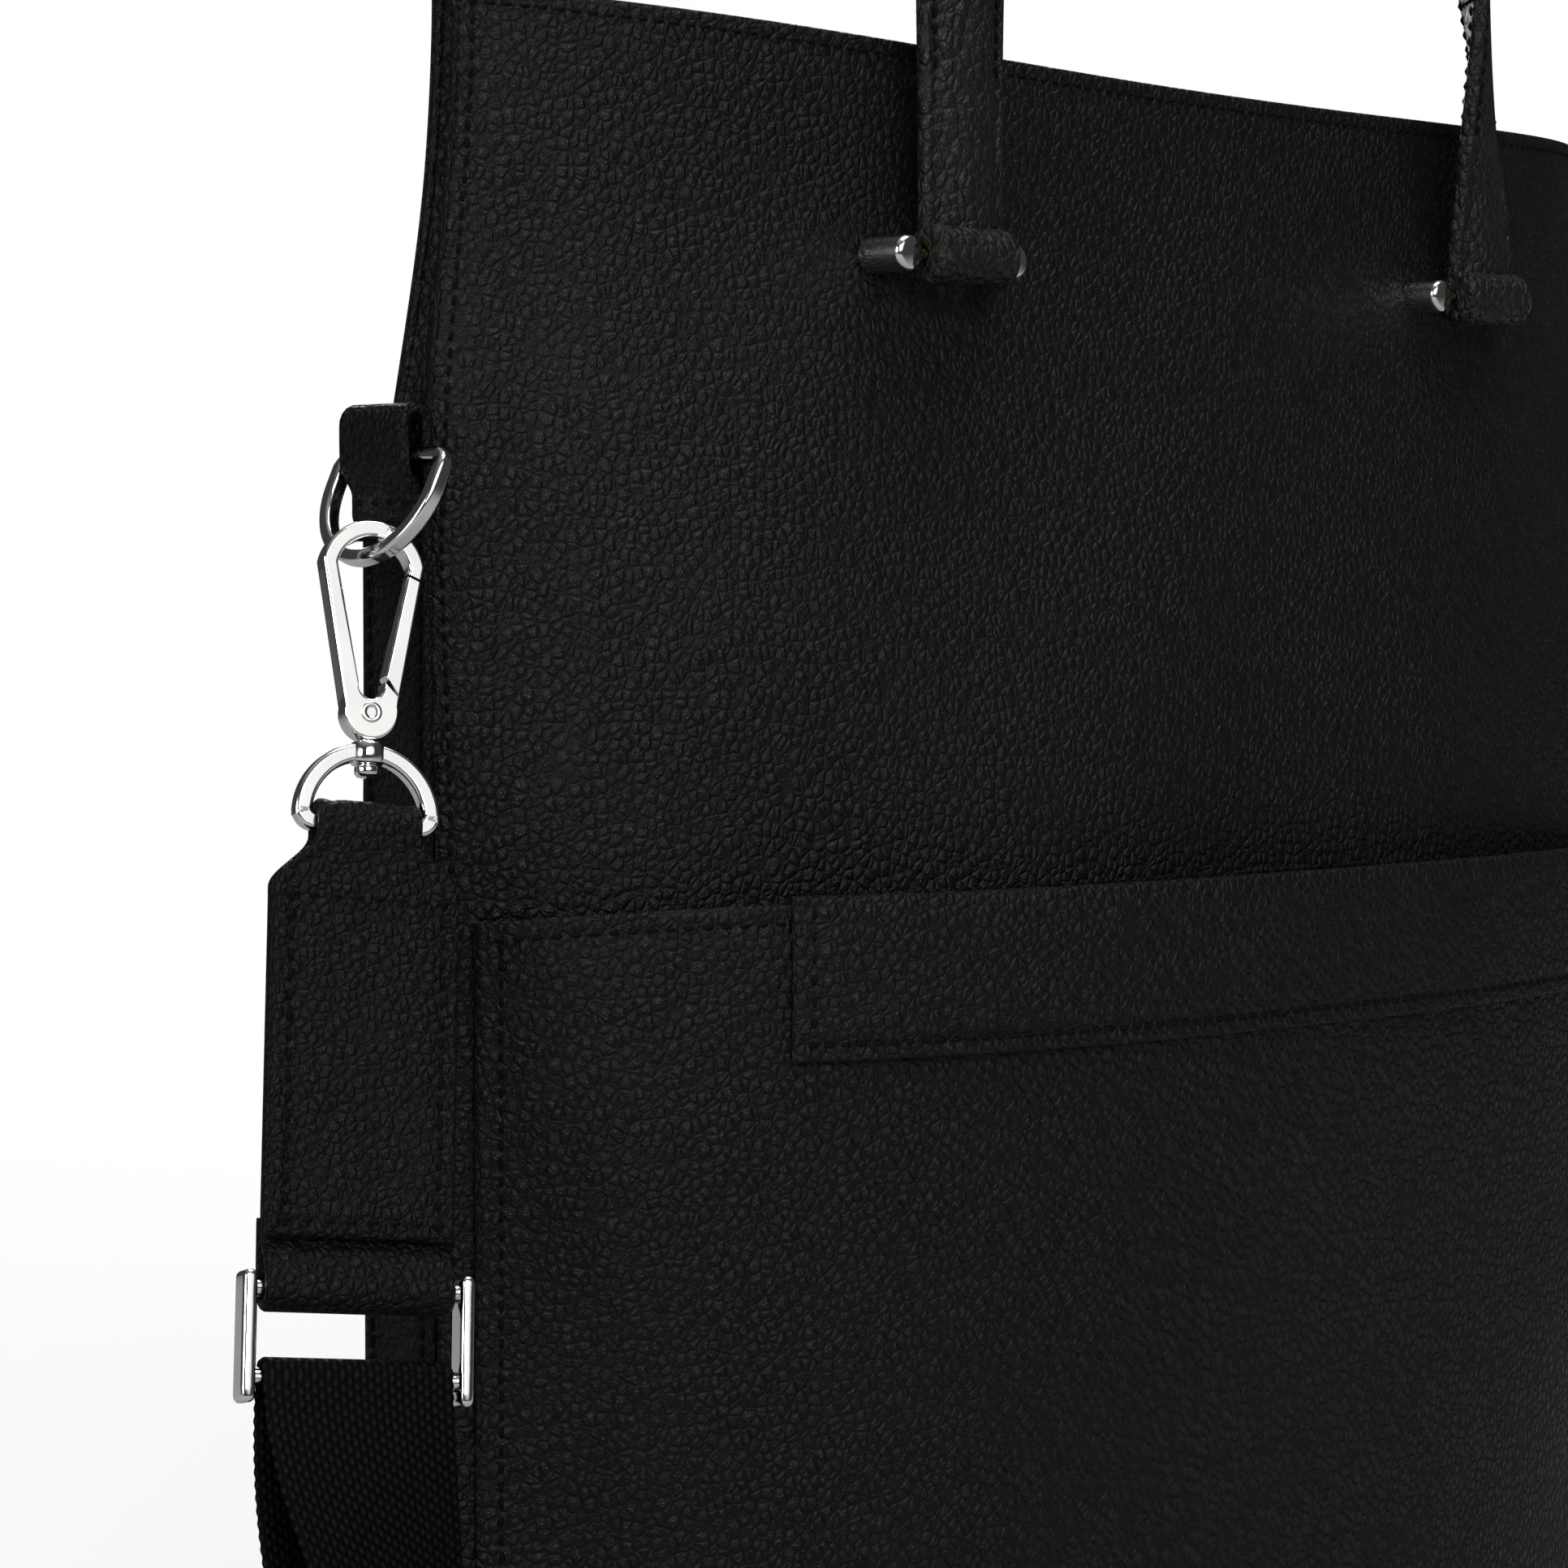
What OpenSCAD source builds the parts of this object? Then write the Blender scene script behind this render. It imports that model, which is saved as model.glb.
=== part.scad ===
// Soft leather carry bag with two handles, a front slip pocket and a clip-on shoulder strap.
// Millimetres. X runs along the width, the front faces -Y, and Z points up.
// The origin is the centre of the base, on the surface that the bag stands on.

/* [Bag] */
// Width between the side seams
bag_w = 343; // [330:1:370]
// Height from the base to the top edge
bag_h = 320; // [310:2:340]
// How far the front and back bulge past the side seams, low down
belly = 48; // [40:1:55]
// How far they bulge at the mouth
mouth = 28; // [24:1:34]
// Half the depth of the side gussets, low down
gusset_half = 9.5; // [9:0.5:12]
// Thickness of the panel leather
leather_t = 2.4; // [2:0.1:2.8]

/* [Front pocket] */
// Height of the pocket edge
pocket_h = 171; // [150:1:180]
// Room behind the pocket edge at the middle
pocket_gap = 8; // [7:0.5:10]
// Half the length of the band sewn over the pocket edge
band_half = 124; // [100:1:140]
// Height of the band
band_h = 28; // [20:1:34]

/* [Handles] */
// Distance of each handle end from the middle
fit_x = 76.5; // [65:0.5:90]
// Height of the axles that the handles turn on
axle_z = 281; // [270:1:290]
// Height of the arch above the axles
arch_h = 187; // [150:1:200]
// Width of the handle strap
handle_w = 20; // [18:0.5:20]
// Thickness of the handle strap
handle_t = 3; // [2.5:0.5:4]
// How far the back handle hangs down from upright
back_fold = 160; // [150:1:164]

/* [Strap hardware] */
// Width of the shoulder strap
strap_w = 31; // [28:1:32]
// Thickness of the webbing
web_t = 1.5; // [1.2:0.1:1.6]
// How far the hanging strap end tilts away from the upright
strap_tilt = 14; // [10:1:18]
// How far the strap end is turned from facing straight forward
strap_turn = 22; // [10:1:30]
// How far the hanging rings tilt away from the sides
ring_tilt = 25; // [24:1:30]

/* [Hidden] */
$fn = 48;

black = [0.09, 0.09, 0.1];
chrome = [0.82, 0.83, 0.85];
weave = [0.07, 0.07, 0.08];

// Shape of the bag body
taper_z = 215;
side_draw = 10.7;
pinch_z = 180;
pinch_top = 292;
pinch = 6;
corner_gap = 0.15;
sag_z = 290;
top_sag = 3.4;
corner_rise = 5;
edge_slope = 0.0125;
belly_z = 120;
low_power = 2.6;
top_power = 4;
foot_r = 12;
foot_tuck = 6;
seam_gap = 0.06;
base_t = 3;
board_t = 2.5;
board_inset = 1;
lining_t = 0.8;
lining_gap = 0.7;
facing_t = 1.2;
facing_z = 262;
facing_drop = 0.4;
skin_gap = 0.15;

// Pocket leather and inner pocket
pocket_t = 2;
pocket_clear = 0.3;
pocket_side = 4.5;
pocket_dip = 2.8;
band_t = 1.5;
band_rise = 0.9;
inner_half = 95;
inner_top = 215;
inner_base = 70;
inner_gap = 9;
inner_rise = 60;
inner_t = 1.2;

// Handle fittings
axle_r = 1.1;
axle_proud = 6.9;
axle_short = 0.8;
foot_half = 10;
foot_deep = 4.6;
foot_fore = 1.2;
foot_up = 0.6;
foot_down = 0.6;
running = 0.08;
cut_over = 1;
post_r = 3.25;
post_x = 13.5;
post_over = 1.6;
post_gap = 0.05;
stem_r = 1.5;
stem_over = 0.3;
hole_gap = 0.2;
hole_l = 40;
hole_y = 10;
plate_t = 1.2;
plate_half = 19;
plate_high = 6;
nut_r = 4;
nut_t = 2.4;
thread_gap = 0.01;
handle_lean = 12;
handle_bow = 0.74;
handle_twist = 1.2;
twist_power = 5;

// Magnetic snap
magnet_r = 9;
magnet_t = 2.6;
magnet_z = 296;
socket_r = 4;
socket_deep = 0.8;

// Side strips and hanging rings
strip_w = 16.8;
strip_shift = -1.35;
strip_t = 2.1;
strip_foot = 3;
bar_z = 245;
bar_r = 1.2;
loop_r = 3.5;
loop_gap = 0.25;
loop_rise = 5.2;
loop_block = 6;
loop_inset = 1;
bar_x = bag_w / 2 + skin_gap + loop_r;
ring_shift = -4;
d_half = 12.75;
d_side = 5.8;
d_wide = 3;
d_thick = 2.5;

// Snap hook, measured down from its top
hook_r = 8.75;
hook_wire = 2.8;
hook_t = 4.2;
hook_hang_y = -2.8;
hang_gap = 1.6;
eye_ease = 0.2;
eye_r = hook_r - hook_wire + eye_ease;
eye_s = hook_wire + eye_r;
block_s = 29.6;
eye_foot = 2.2;
pivot_s = 32;
block_r = 4.5;
hook_end = pivot_s + block_r;
gate_top = 6.8;
gate_end = 30.2;
gate_slope = 0.32;
gate_from = 1;
gate_inset = 1;
gate_cut = 0.3;
gate_thin = 0.3;
tang_t = 0.9;
tang_r = 2.4;
tang_end = 29.4;
slot_t = 1.8;
slot_left = 3.2;
slot_low = 3;
slot_up = 1.2;
pin_r = 1;
pin_over = 0.2;
spring_wire = 0.25;
spring_r = 1.75;

// Swivel, strap ring, tab and slider, measured down from the hook's top
swivel_r = 1.4;
swivel_head = 2;
swivel_over = 2;
head_t = 1.7;
stub_r = 1.2;
stub_l = 1.3;
stub_gap = 0.1;
swivel_gap = 0.3;
ring_top = hook_end + swivel_gap;
ring_r = 12.2;
ring_wire = 3;
boss_r = 2.8;
boss_end = ring_top + 3.6;
ring_drop = 1.2;
ring_bar_s = ring_top + ring_r + ring_drop;
ring_bar_r = 1.6;
ring_bar_short = 0.5;
leg_rise = 0.5;
leg_over = 2.4;
tab_t = 2.6;
tab_roll = 2;
neck_w = 17.4;
shoulder_s = 53.2;
shoulder_end = 60.5;
tab_front_end = 117;
slider_bar_s = 124.6;
slider_low_s = 138.6;
slider_top = 122;
slider_end = 142.5;
slider_bar_r = 1.6;
slider_w = 38;
slider_side = 2.4;
slider_deep = 5.5;
hold_gap = 0.15;

// Webbing route
web_floor = 0.1;
drop_z = 16;
run_x = bag_w / 2 + 35;
drop_y = -41;
drop_lean = 30;
web_swing = 11;
web_open = 4.2;
web_touch = 0.05;
web_apart = 0.1;
fold_cut = 0.3;
run_gap = 0.5;
bend_r = drop_z - run_gap - web_floor - web_t;
back_y = 89;
back_z = 3.5;
tail_x = -20;
adjuster_x = -95;
adjuster_l = 24;
adjuster_bar = 2;
adjuster_low = 0.5;
adjuster_high = 0.6;
adjuster_side = 0.7;
steps = 20;

// Smooth rise from 0 to 1
function ease(t) = let (c = min(1, max(0, t))) c * c * (3 - 2 * c);

// Outline of the body: half width, half gusset depth, bulge and squareness at height z
function half_w(z) = bag_w / 2 - side_draw * ease((z - taper_z) / (bag_h - taper_z));
function half_g(z) = gusset_half - pinch * ease((z - pinch_z) / (pinch_top - pinch_z));
function fullness(z) = 1 - ease((z - belly_z) / (bag_h - belly_z));
function tuck(z) = foot_tuck * pow(1 - min(1, z / foot_r), 2);
function bulge(z) = mouth + (belly - mouth) * fullness(z) - tuck(z);
function power(z) = top_power + (low_power - top_power) * fullness(z);

// Distance of the leather from the middle plane, drawn in by off
function skin_y(x, z, off = 0) =
    let (q = min(1, abs(x) / (half_w(z) - off)))
    max(corner_gap, half_g(z) - off + bulge(z) * (1 - pow(q, power(z))));

// How far the soft top edge moves: it sags in the middle and stands up at the corners
function top_shift(x, z) = ease((z - sag_z) / (bag_h - sag_z))
    * (corner_rise * pow(x / half_w(z), 2) - top_sag - edge_slope * x);

// Heights at which a wall between two heights is cut
function levels(low, high, n) = [for (i = [0:n]) low + (high - low) * i / n];
wall_z = concat([0, 3, 7], levels(foot_r, bag_h, 12));

// Grid of front points at some heights, drawn in by off
function front_grid(zs, off, n = 22) = [for (z = zs)
    [for (i = [0:n])
        let (w = half_w(z) - off, x = -w + 2 * w * i / n)
        [x, -skin_y(x, z, off), z + top_shift(x, z)]]];

// Two triangles on the four corners a, b, c and d
function quad(a, b, c, d) = [[a, b, c], [a, c, d]];

// Closed solid between an outer and an inner grid of the same size
module slab(outer, inner) {
    rows = len(outer);
    cols = len(outer[0]);
    far = rows * cols;
    function at(r, c) = r * cols + c;
    points = concat([for (row = outer) each row], [for (row = inner) each row]);
    skin = [for (r = [0:rows - 2]) for (c = [0:cols - 2])
        each quad(at(r, c), at(r + 1, c), at(r + 1, c + 1), at(r, c + 1))];
    back = [for (f = skin) [f[2] + far, f[1] + far, f[0] + far]];
    rim = concat(
        [for (c = [0:cols - 2]) each quad(at(0, c), at(0, c + 1), at(0, c + 1) + far, at(0, c) + far)],
        [for (c = [0:cols - 2]) let (r = rows - 1)
            each quad(at(r, c + 1), at(r, c), at(r, c) + far, at(r, c + 1) + far)],
        [for (r = [0:rows - 2]) each quad(at(r + 1, 0), at(r, 0), at(r, 0) + far, at(r + 1, 0) + far)],
        [for (r = [0:rows - 2]) let (c = cols - 1)
            each quad(at(r, c), at(r + 1, c), at(r + 1, c) + far, at(r, c) + far)]);
    polyhedron(points, concat(skin, back, rim));
}

// Closed solid through a row of equal rings of points
module sweep(rings) {
    n = len(rings[0]);
    last = (len(rings) - 1) * n;
    sides = [for (r = [0:len(rings) - 2]) for (c = [0:n - 1])
        let (d = (c + 1) % n)
        each quad(r * n + c, r * n + d, (r + 1) * n + d, (r + 1) * n + c)];
    caps = [[for (c = [n - 1:-1:0]) c], [for (c = [0:n - 1]) last + c]];
    polyhedron([for (ring = rings) each ring], concat(sides, caps));
}

// Round rod along Y
module rod_y(r, l) {
    rotate([90, 0, 0]) cylinder(r = r, h = l, center = true);
}

// Round rod along X
module rod_x(r, l) {
    rotate([0, 90, 0]) cylinder(r = r, h = l, center = true);
}

// Outline of the whole body at height z, drawn in by off
function outline(z, off, n = 20) =
    let (front = front_grid([z], off, n)[0])
    concat([for (p = front) [p.x, p.y]], [for (i = [n:-1:0]) [front[i].x, -front[i].y]]);

// Body panels
module panel_shape() {
    difference() {
        slab(front_grid(wall_z, 0), front_grid(wall_z, leather_t));
        post_holes();
    }
}

module front_panel() {
    color(black) panel_shape();
}

module back_panel() {
    color(black) mirror([0, 1, 0]) panel_shape();
}

module gusset_shape(end) {
    function side(off) = [for (z = wall_z) [for (i = [0:2])
        [-half_w(z) + off, (1 - i) * (half_g(z) - off - seam_gap), z + top_shift(end * half_w(z), z)]]];
    slab(side(0), side(leather_t));
}

module left_gusset() {
    color(black) gusset_shape(-1);
}

module right_gusset() {
    color(black) mirror([1, 0, 0]) gusset_shape(1);
}

module base_panel() {
    color(black) linear_extrude(base_t) polygon(outline(0, leather_t + skin_gap));
}

module base_board() {
    color([0.3, 0.28, 0.25])
        translate([0, 0, base_t])
            linear_extrude(board_t) polygon(outline(0, leather_t + board_inset));
}

// Lining: a thin cup that follows the panels from the board up to the facings
module lining() {
    low = base_t + board_t + skin_gap;
    near = leather_t + lining_gap;
    zs = levels(low, facing_z - skin_gap, 12);
    function ring(z, off) = [for (p = outline(z, off)) [p.x, p.y, z]];
    inside = [for (z = zs) ring(max(z, low + lining_t), near + lining_t)];
    outside = [for (i = [len(zs) - 1:-1:0]) ring(zs[i], near)];
    color([0.16, 0.16, 0.17]) sweep(concat(inside, outside));
}

module facing_shape() {
    near = leather_t + skin_gap;
    zs = levels(facing_z, bag_h - facing_drop, 4);
    difference() {
        slab(front_grid(zs, near), front_grid(zs, near + facing_t));
        post_holes();
    }
}

module front_facing() {
    color(black) facing_shape();
}

module back_facing() {
    color(black) mirror([0, 1, 0]) facing_shape();
}

// Front slip pocket: its edge stands off the panel and dips at the sides, which lie on the panel
function pocket_x(z) = half_w(z) - pocket_side;
function pocket_lift(x, z) =
    pocket_gap * ease(z / pocket_h) * (1 - pow(min(1, abs(x) / pocket_x(z)), 4)) + pocket_clear;

module front_pocket() {
    heights = concat([0.5, 4, 8], levels(foot_r, pocket_h, 7));
    function face(more) = [for (h = heights) [for (i = [0:22])
        let (q = i / 11 - 1,
            x = pocket_x(h) * q,
            z = h - pocket_dip * pow(q, 6) * pow(h / pocket_h, 4))
        [x, -skin_y(x, z) - pocket_lift(x, z) - more, z]]];
    color(black) slab(face(pocket_t), face(0));
}

// Band folded over the pocket edge
module pocket_band() {
    near = pocket_t + pocket_clear;
    top = pocket_h + band_rise;
    low = top - band_h;
    edge = pocket_h + skin_gap;
    profile = [[near, low], [near + band_t, low], [near + band_t, top], [0, top], [0, edge], [near, edge]];
    rings = [for (i = [0:16])
        let (x = band_half * (i / 8 - 1))
        [for (p = profile)
            [x, -skin_y(x, p[1]) - pocket_lift(x, min(p[1], pocket_h)) - p[0], p[1]]]];
    color(black) sweep(rings);
}

// Slip pocket on the back wall inside
module inner_pocket() {
    near = leather_t + lining_gap + lining_t + 3 * skin_gap;
    zs = levels(inner_base, inner_top, 6);
    function face(more) = [for (z = zs) [for (i = [0:14])
        let (x = inner_half * (i / 7 - 1),
            rise = inner_gap * ease((z - inner_base) / inner_rise) * (1 - pow(abs(x) / inner_half, 4)))
        [x, skin_y(x, z, near) - rise - more, z]]];
    color([0.2, 0.2, 0.21]) slab(face(inner_t), face(0));
}

// Magnetic snap halves on the facings
module magnet_shape() {
    seat = skin_y(0, magnet_z + magnet_r + top_sag, leather_t + facing_t + 2 * skin_gap);
    color(chrome)
        translate([0, -seat + magnet_t / 2, magnet_z])
            difference() {
                rod_y(magnet_r, magnet_t);
                translate([0, magnet_t / 2, 0]) rod_y(socket_r, 2 * socket_deep);
            }
}

module magnet_front() {
    magnet_shape();
}

module magnet_back() {
    mirror([0, 1, 0]) magnet_shape();
}

// Long round-ended bar that stands on the ring's axis
module upright(r, l) {
    translate([-bar_x, strip_shift, bar_z]) {
        rod_y(r, l);
        translate([-r, -l / 2, 0]) cube([2 * r, l, loop_rise]);
        translate([0, 0, loop_rise]) rod_y(r, l);
    }
}

// Leather strip on the gusset, whose top folds into a loop for the ring's bar
module side_strip_shape() {
    color(black)
        difference() {
            union() {
                translate([-bag_w / 2 - strip_t - skin_gap, strip_shift - strip_w / 2, strip_foot])
                    cube([strip_t, strip_w, bar_z - strip_foot]);
                translate([-bar_x - loop_r + loop_inset, strip_shift - strip_w / 2, bar_z - loop_block])
                    cube([2 * loop_r - loop_inset, strip_w, loop_block]);
                upright(loop_r, strip_w);
            }
            upright(bar_r + loop_gap, strip_w + cut_over);
        }
}

module left_side_strip() {
    side_strip_shape();
}

module right_side_strip() {
    mirror([1, 0, 0]) side_strip_shape();
}

// Handles
fit_y = skin_y(fit_x, axle_z) + axle_proud;
function post_seat(x) = max([for (dx = [-post_r, 0, post_r]) skin_y(x + dx, axle_z - post_r)]);
post_at = [for (side = [-1, 1]) for (end = [-1, 1]) side * fit_x + end * post_x];

// How far the strap has turned edge-up: the right leg turns early and the left one late
function handle_turn(angle) = angle < 90
    ? 90 * (1 - pow(1 - angle / 90, twist_power))
    : 90 * ease(handle_twist * (180 - angle) / 90);

// One station of the strap
function handle_ring(angle) =
    let (c = cos(angle),
        s = max(0, sin(angle)),
        x = fit_x * sign(c) * pow(abs(c), handle_bow),
        up = pow(s, handle_bow),
        heading = [fit_x * pow(s, 2 - handle_bow), -arch_h * c * pow(abs(c), 1 - handle_bow)],
        along = heading / norm(heading),
        flat = [along[1], -along[0]],
        twist = -handle_turn(angle),
        a = handle_w / 2,
        b = handle_t / 2,
        e = handle_t / 4)
    [for (p = [[-a, -b + e], [-a + e, -b], [a - e, -b], [a, -b + e],
            [a, b - e], [a - e, b], [-a + e, b], [-a, b - e]])
        let (in_plane = p[0] * cos(twist) - p[1] * sin(twist),
            across = p[0] * sin(twist) + p[1] * cos(twist))
        [x + flat[0] * in_plane,
            -fit_y + handle_lean * up * up + across,
            axle_z + foot_up + (arch_h - foot_up) * up + flat[1] * in_plane]];

// Folded end of the strap round its axle, fuller towards the front
module foot() {
    translate([0, -foot_fore, 0]) {
        translate([0, 0, foot_up]) rod_x(foot_deep, 2 * foot_half);
        translate([0, 0, -foot_down]) rod_x(foot_deep, 2 * foot_half);
        translate([-foot_half, -foot_deep, -foot_down])
            cube([2 * foot_half, 2 * foot_deep, foot_up + foot_down]);
    }
}

module handle_shape() {
    color(black) {
        difference() {
            union() {
                sweep([for (i = [0:36]) handle_ring(5 * i)]);
                for (side = [-1, 1])
                    translate([side * fit_x, -fit_y, axle_z]) foot();
            }
            for (side = [-1, 1])
                translate([side * fit_x, -fit_y, axle_z]) rod_x(axle_r + running, 3 * foot_half);
        }
    }
}

module front_handle() {
    handle_shape();
}

module back_handle() {
    mirror([0, 1, 0])
        translate([0, -fit_y, axle_z])
            rotate([back_fold, 0, 0])
                translate([0, fit_y, -axle_z]) handle_shape();
}

// Clearance holes for the posts' stems
module post_holes() {
    for (x = post_at)
        translate([x, -fit_y + hole_y, axle_z]) rod_y(stem_r + hole_gap, hole_l);
}

// Posts that carry the axles, with stems through the leather
module posts_shape() {
    color(chrome)
        for (x = post_at) {
            seat = post_seat(x) + post_gap;
            tip = fit_y + post_over;
            inside = plate_y(sign(x)) - plate_t - nut_t + stem_over;
            difference() {
                union() {
                    translate([x, -(seat + tip) / 2, axle_z]) rod_y(post_r, tip - seat);
                    translate([x, -(seat + inside) / 2, axle_z]) rod_y(stem_r, seat - inside + stem_over);
                }
                translate([x, -fit_y, axle_z]) rod_x(axle_r, 3 * post_r);
            }
        }
}

module front_handle_posts() {
    posts_shape();
}

module back_handle_posts() {
    mirror([0, 1, 0]) posts_shape();
}

module axles_shape() {
    color([0.75, 0.62, 0.36])
        for (side = [-1, 1])
            translate([side * fit_x, -fit_y, axle_z]) rod_x(axle_r, 2 * (post_x + post_r - axle_short));
}

module front_handle_axles() {
    axles_shape();
}

module back_handle_axles() {
    mirror([0, 1, 0]) axles_shape();
}

// Plates that spread the handle's pull on the inside of the facing
function plate_y(side) = min([for (dx = [-plate_half, plate_half]) for (dz = [-plate_high, plate_high])
    skin_y(side * fit_x + dx, axle_z + dz, leather_t + facing_t + 2 * skin_gap)]);

module backplates_shape() {
    color(chrome)
        for (side = [-1, 1])
            difference() {
                translate([side * fit_x - plate_half, -plate_y(side), axle_z - plate_high])
                    cube([2 * plate_half, plate_t, 2 * plate_high]);
                post_holes();
            }
}

module front_backplates() {
    backplates_shape();
}

module back_backplates() {
    mirror([0, 1, 0]) backplates_shape();
}

module nuts_shape() {
    color(chrome)
        for (x = post_at) {
            seat = plate_y(sign(x)) - plate_t;
            translate([x, -seat + nut_t / 2, axle_z])
                difference() {
                    rod_y(nut_r, nut_t);
                    rod_y(stem_r + thread_gap, nut_t + cut_over);
                }
        }
}

module front_post_nuts() {
    nuts_shape();
}

module back_post_nuts() {
    mirror([0, 1, 0]) nuts_shape();
}

// Ring that hangs from the strip's loop, tilted away from the side
module d_ring_shape() {
    color(chrome)
        translate([-bar_x, ring_shift, bar_z])
            rotate([0, ring_tilt, 0]) {
                rod_y(bar_r, 2 * d_half + d_thick);
                for (side = [-1, 1])
                    translate([-d_wide / 2, side * d_half - d_thick / 2, -d_side])
                        cube([d_wide, d_thick, d_side + bar_r]);
                translate([0, 0, -d_side])
                    rotate([0, 90, 0])
                        rotate([0, 0, -90])
                            rotate_extrude(angle = 180)
                                translate([d_half - d_thick / 2, -d_wide / 2])
                                    square([d_thick, d_wide]);
            }
}

module left_d_ring() {
    d_ring_shape();
}

module right_d_ring() {
    mirror([1, 0, 0]) d_ring_shape();
}

// Frame of the hanging strap end: its origin is the hook's top, and it runs down local -Z
hang_drop = d_side + sqrt(pow(d_half, 2) - pow(hook_hang_y, 2));
hang_up = d_thick / 2 + hang_gap + hook_wire;
strap_down = [-sin(strap_tilt) / sqrt(2), -sin(strap_tilt) / sqrt(2), -cos(strap_tilt)];
hook_top = [-bar_x - hang_drop * sin(ring_tilt), ring_shift + hook_hang_y,
    bar_z - hang_drop * cos(ring_tilt)] - hang_up * strap_down;

module strap_frame() {
    translate(hook_top)
        rotate(a = strap_tilt, v = [-1, 1, 0])
            rotate([0, 0, -strap_turn])
                children();
}

// Plate of thickness t from an outline drawn in the strap end's own plane
module plate(t) {
    rotate([90, 0, 0]) linear_extrude(t, center = true) children();
}

// Pear outline round a large circle above a small one
function pear(top_r, top_s, end_r, end_s, n = 18) =
    let (lean = asin((top_r - end_r) / (end_s - top_s)))
    concat(
        [for (i = [0:n]) let (a = lean + (180 - 2 * lean) * i / n) [top_r * cos(a), top_r * sin(a) - top_s]],
        [for (i = [0:n]) let (a = 180 - lean + (180 + 2 * lean) * i / n)
            [end_r * cos(a), end_r * sin(a) - end_s]]);

module hook_outer() {
    polygon(pear(hook_r, hook_r, block_r, pivot_s));
}

module hook_eye() {
    polygon(pear(eye_r, eye_s, eye_foot, block_s - eye_foot));
}

// Right side of the hook between a sloping cut and a level one
module gate_band(from, top, end) {
    wide = 2 * hook_r;
    polygon([[from, -end], [wide, -end], [wide, -top - gate_slope * wide],
        [from, -top - gate_slope * from]]);
}

module hook_shape() {
    color(chrome) strap_frame()
        difference() {
            plate(hook_t)
                difference() {
                    hook_outer();
                    hook_eye();
                    gate_band(gate_from, gate_top, gate_end);
                }
            translate([-slot_left, -slot_t / 2, -pivot_s - slot_low])
                cube([slot_left + hook_r, slot_t, pivot_s + slot_low - gate_end + slot_up]);
            translate([0, 0, -pivot_s]) rod_y(pin_r, 2 * hook_t);
            translate([0, 0, -hook_end - cut_over]) cylinder(r = stub_r, h = stub_l + stub_gap + cut_over);
        }
}

module left_hook() {
    hook_shape();
}

module right_hook() {
    mirror([1, 0, 0]) hook_shape();
}

// Sprung gate that closes the hook's right side
module gate_shape() {
    color(chrome) strap_frame()
        difference() {
            union() {
                plate(hook_t - gate_thin)
                    intersection() {
                        difference() {
                            hook_outer();
                            hook_eye();
                        }
                        gate_band(gate_from + gate_inset, gate_top + gate_cut, gate_end - gate_cut);
                    }
                translate([0, -slot_t / 2 + pin_over + tang_t / 2, 0])
                    plate(tang_t) {
                        translate([0, -pivot_s]) circle(tang_r);
                        polygon([[0, -pivot_s], [tang_r, -pivot_s], [block_r, -tang_end],
                            [gate_from + gate_inset, -tang_end]]);
                    }
            }
            translate([0, 0, -pivot_s]) rod_y(pin_r + running, 2 * hook_t);
        }
}

module left_gate() {
    gate_shape();
}

module right_gate() {
    mirror([1, 0, 0]) gate_shape();
}

module gate_pin_shape() {
    color(chrome) strap_frame()
        translate([0, 0, -pivot_s]) rod_y(pin_r, hook_t + 2 * pin_over);
}

module left_gate_pin() {
    gate_pin_shape();
}

module right_gate_pin() {
    mirror([1, 0, 0]) gate_pin_shape();
}

// Coil that presses the gate shut
module gate_spring_shape() {
    color("dimgray") strap_frame()
        translate([0, slot_t / 2 - spring_wire - running, -pivot_s])
            rotate([90, 0, 0])
                rotate_extrude() translate([spring_r, 0]) circle(spring_wire, $fn = 16);
}

module left_gate_spring() {
    gate_spring_shape();
}

module right_gate_spring() {
    mirror([1, 0, 0]) gate_spring_shape();
}

// Headed post below the hook, on which the strap ring turns
module swivel_post_shape() {
    color(chrome) strap_frame() {
        translate([0, 0, -hook_end]) cylinder(r = stub_r, h = stub_l);
        translate([0, 0, -boss_end - swivel_over]) {
            cylinder(r = swivel_r, h = boss_end + swivel_over - hook_end);
            cylinder(r = swivel_head, h = head_t);
        }
    }
}

module left_swivel_post() {
    swivel_post_shape();
}

module right_swivel_post() {
    mirror([1, 0, 0]) swivel_post_shape();
}

// Arched ring that the tab hangs from
module strap_ring_shape() {
    color(chrome) strap_frame()
        difference() {
            union() {
                translate([0, 0, -ring_top - ring_r])
                    rotate([90, 0, 0])
                        rotate_extrude(angle = 180)
                            translate([ring_r - ring_wire, -ring_wire / 2]) square(ring_wire);
                for (side = [-1, 1])
                    translate([side * (ring_r - ring_wire / 2), 0, leg_rise - ring_bar_s])
                        cube([ring_wire, ring_wire, ring_drop + leg_over], center = true);
                translate([0, 0, -ring_bar_s]) rod_x(ring_bar_r, 2 * (ring_r - ring_bar_short));
                translate([0, 0, -boss_end]) cylinder(r = boss_r, h = boss_end - ring_top);
            }
            translate([0, 0, -boss_end - cut_over])
                cylinder(r = swivel_r + running, h = boss_end - ring_top + 2 * cut_over);
        }
}

module left_strap_ring() {
    strap_ring_shape();
}

module right_strap_ring() {
    mirror([1, 0, 0]) strap_ring_shape();
}

// Two-layer leather tab between the strap ring and the slider
module tab_outline(end) {
    polygon([[-neck_w / 2, -ring_bar_s], [neck_w / 2, -ring_bar_s], [neck_w / 2, -shoulder_s],
        [strap_w / 2, -shoulder_end], [strap_w / 2, -end], [-strap_w / 2, -end],
        [-strap_w / 2, -shoulder_end], [-neck_w / 2, -shoulder_s]]);
}

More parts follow.
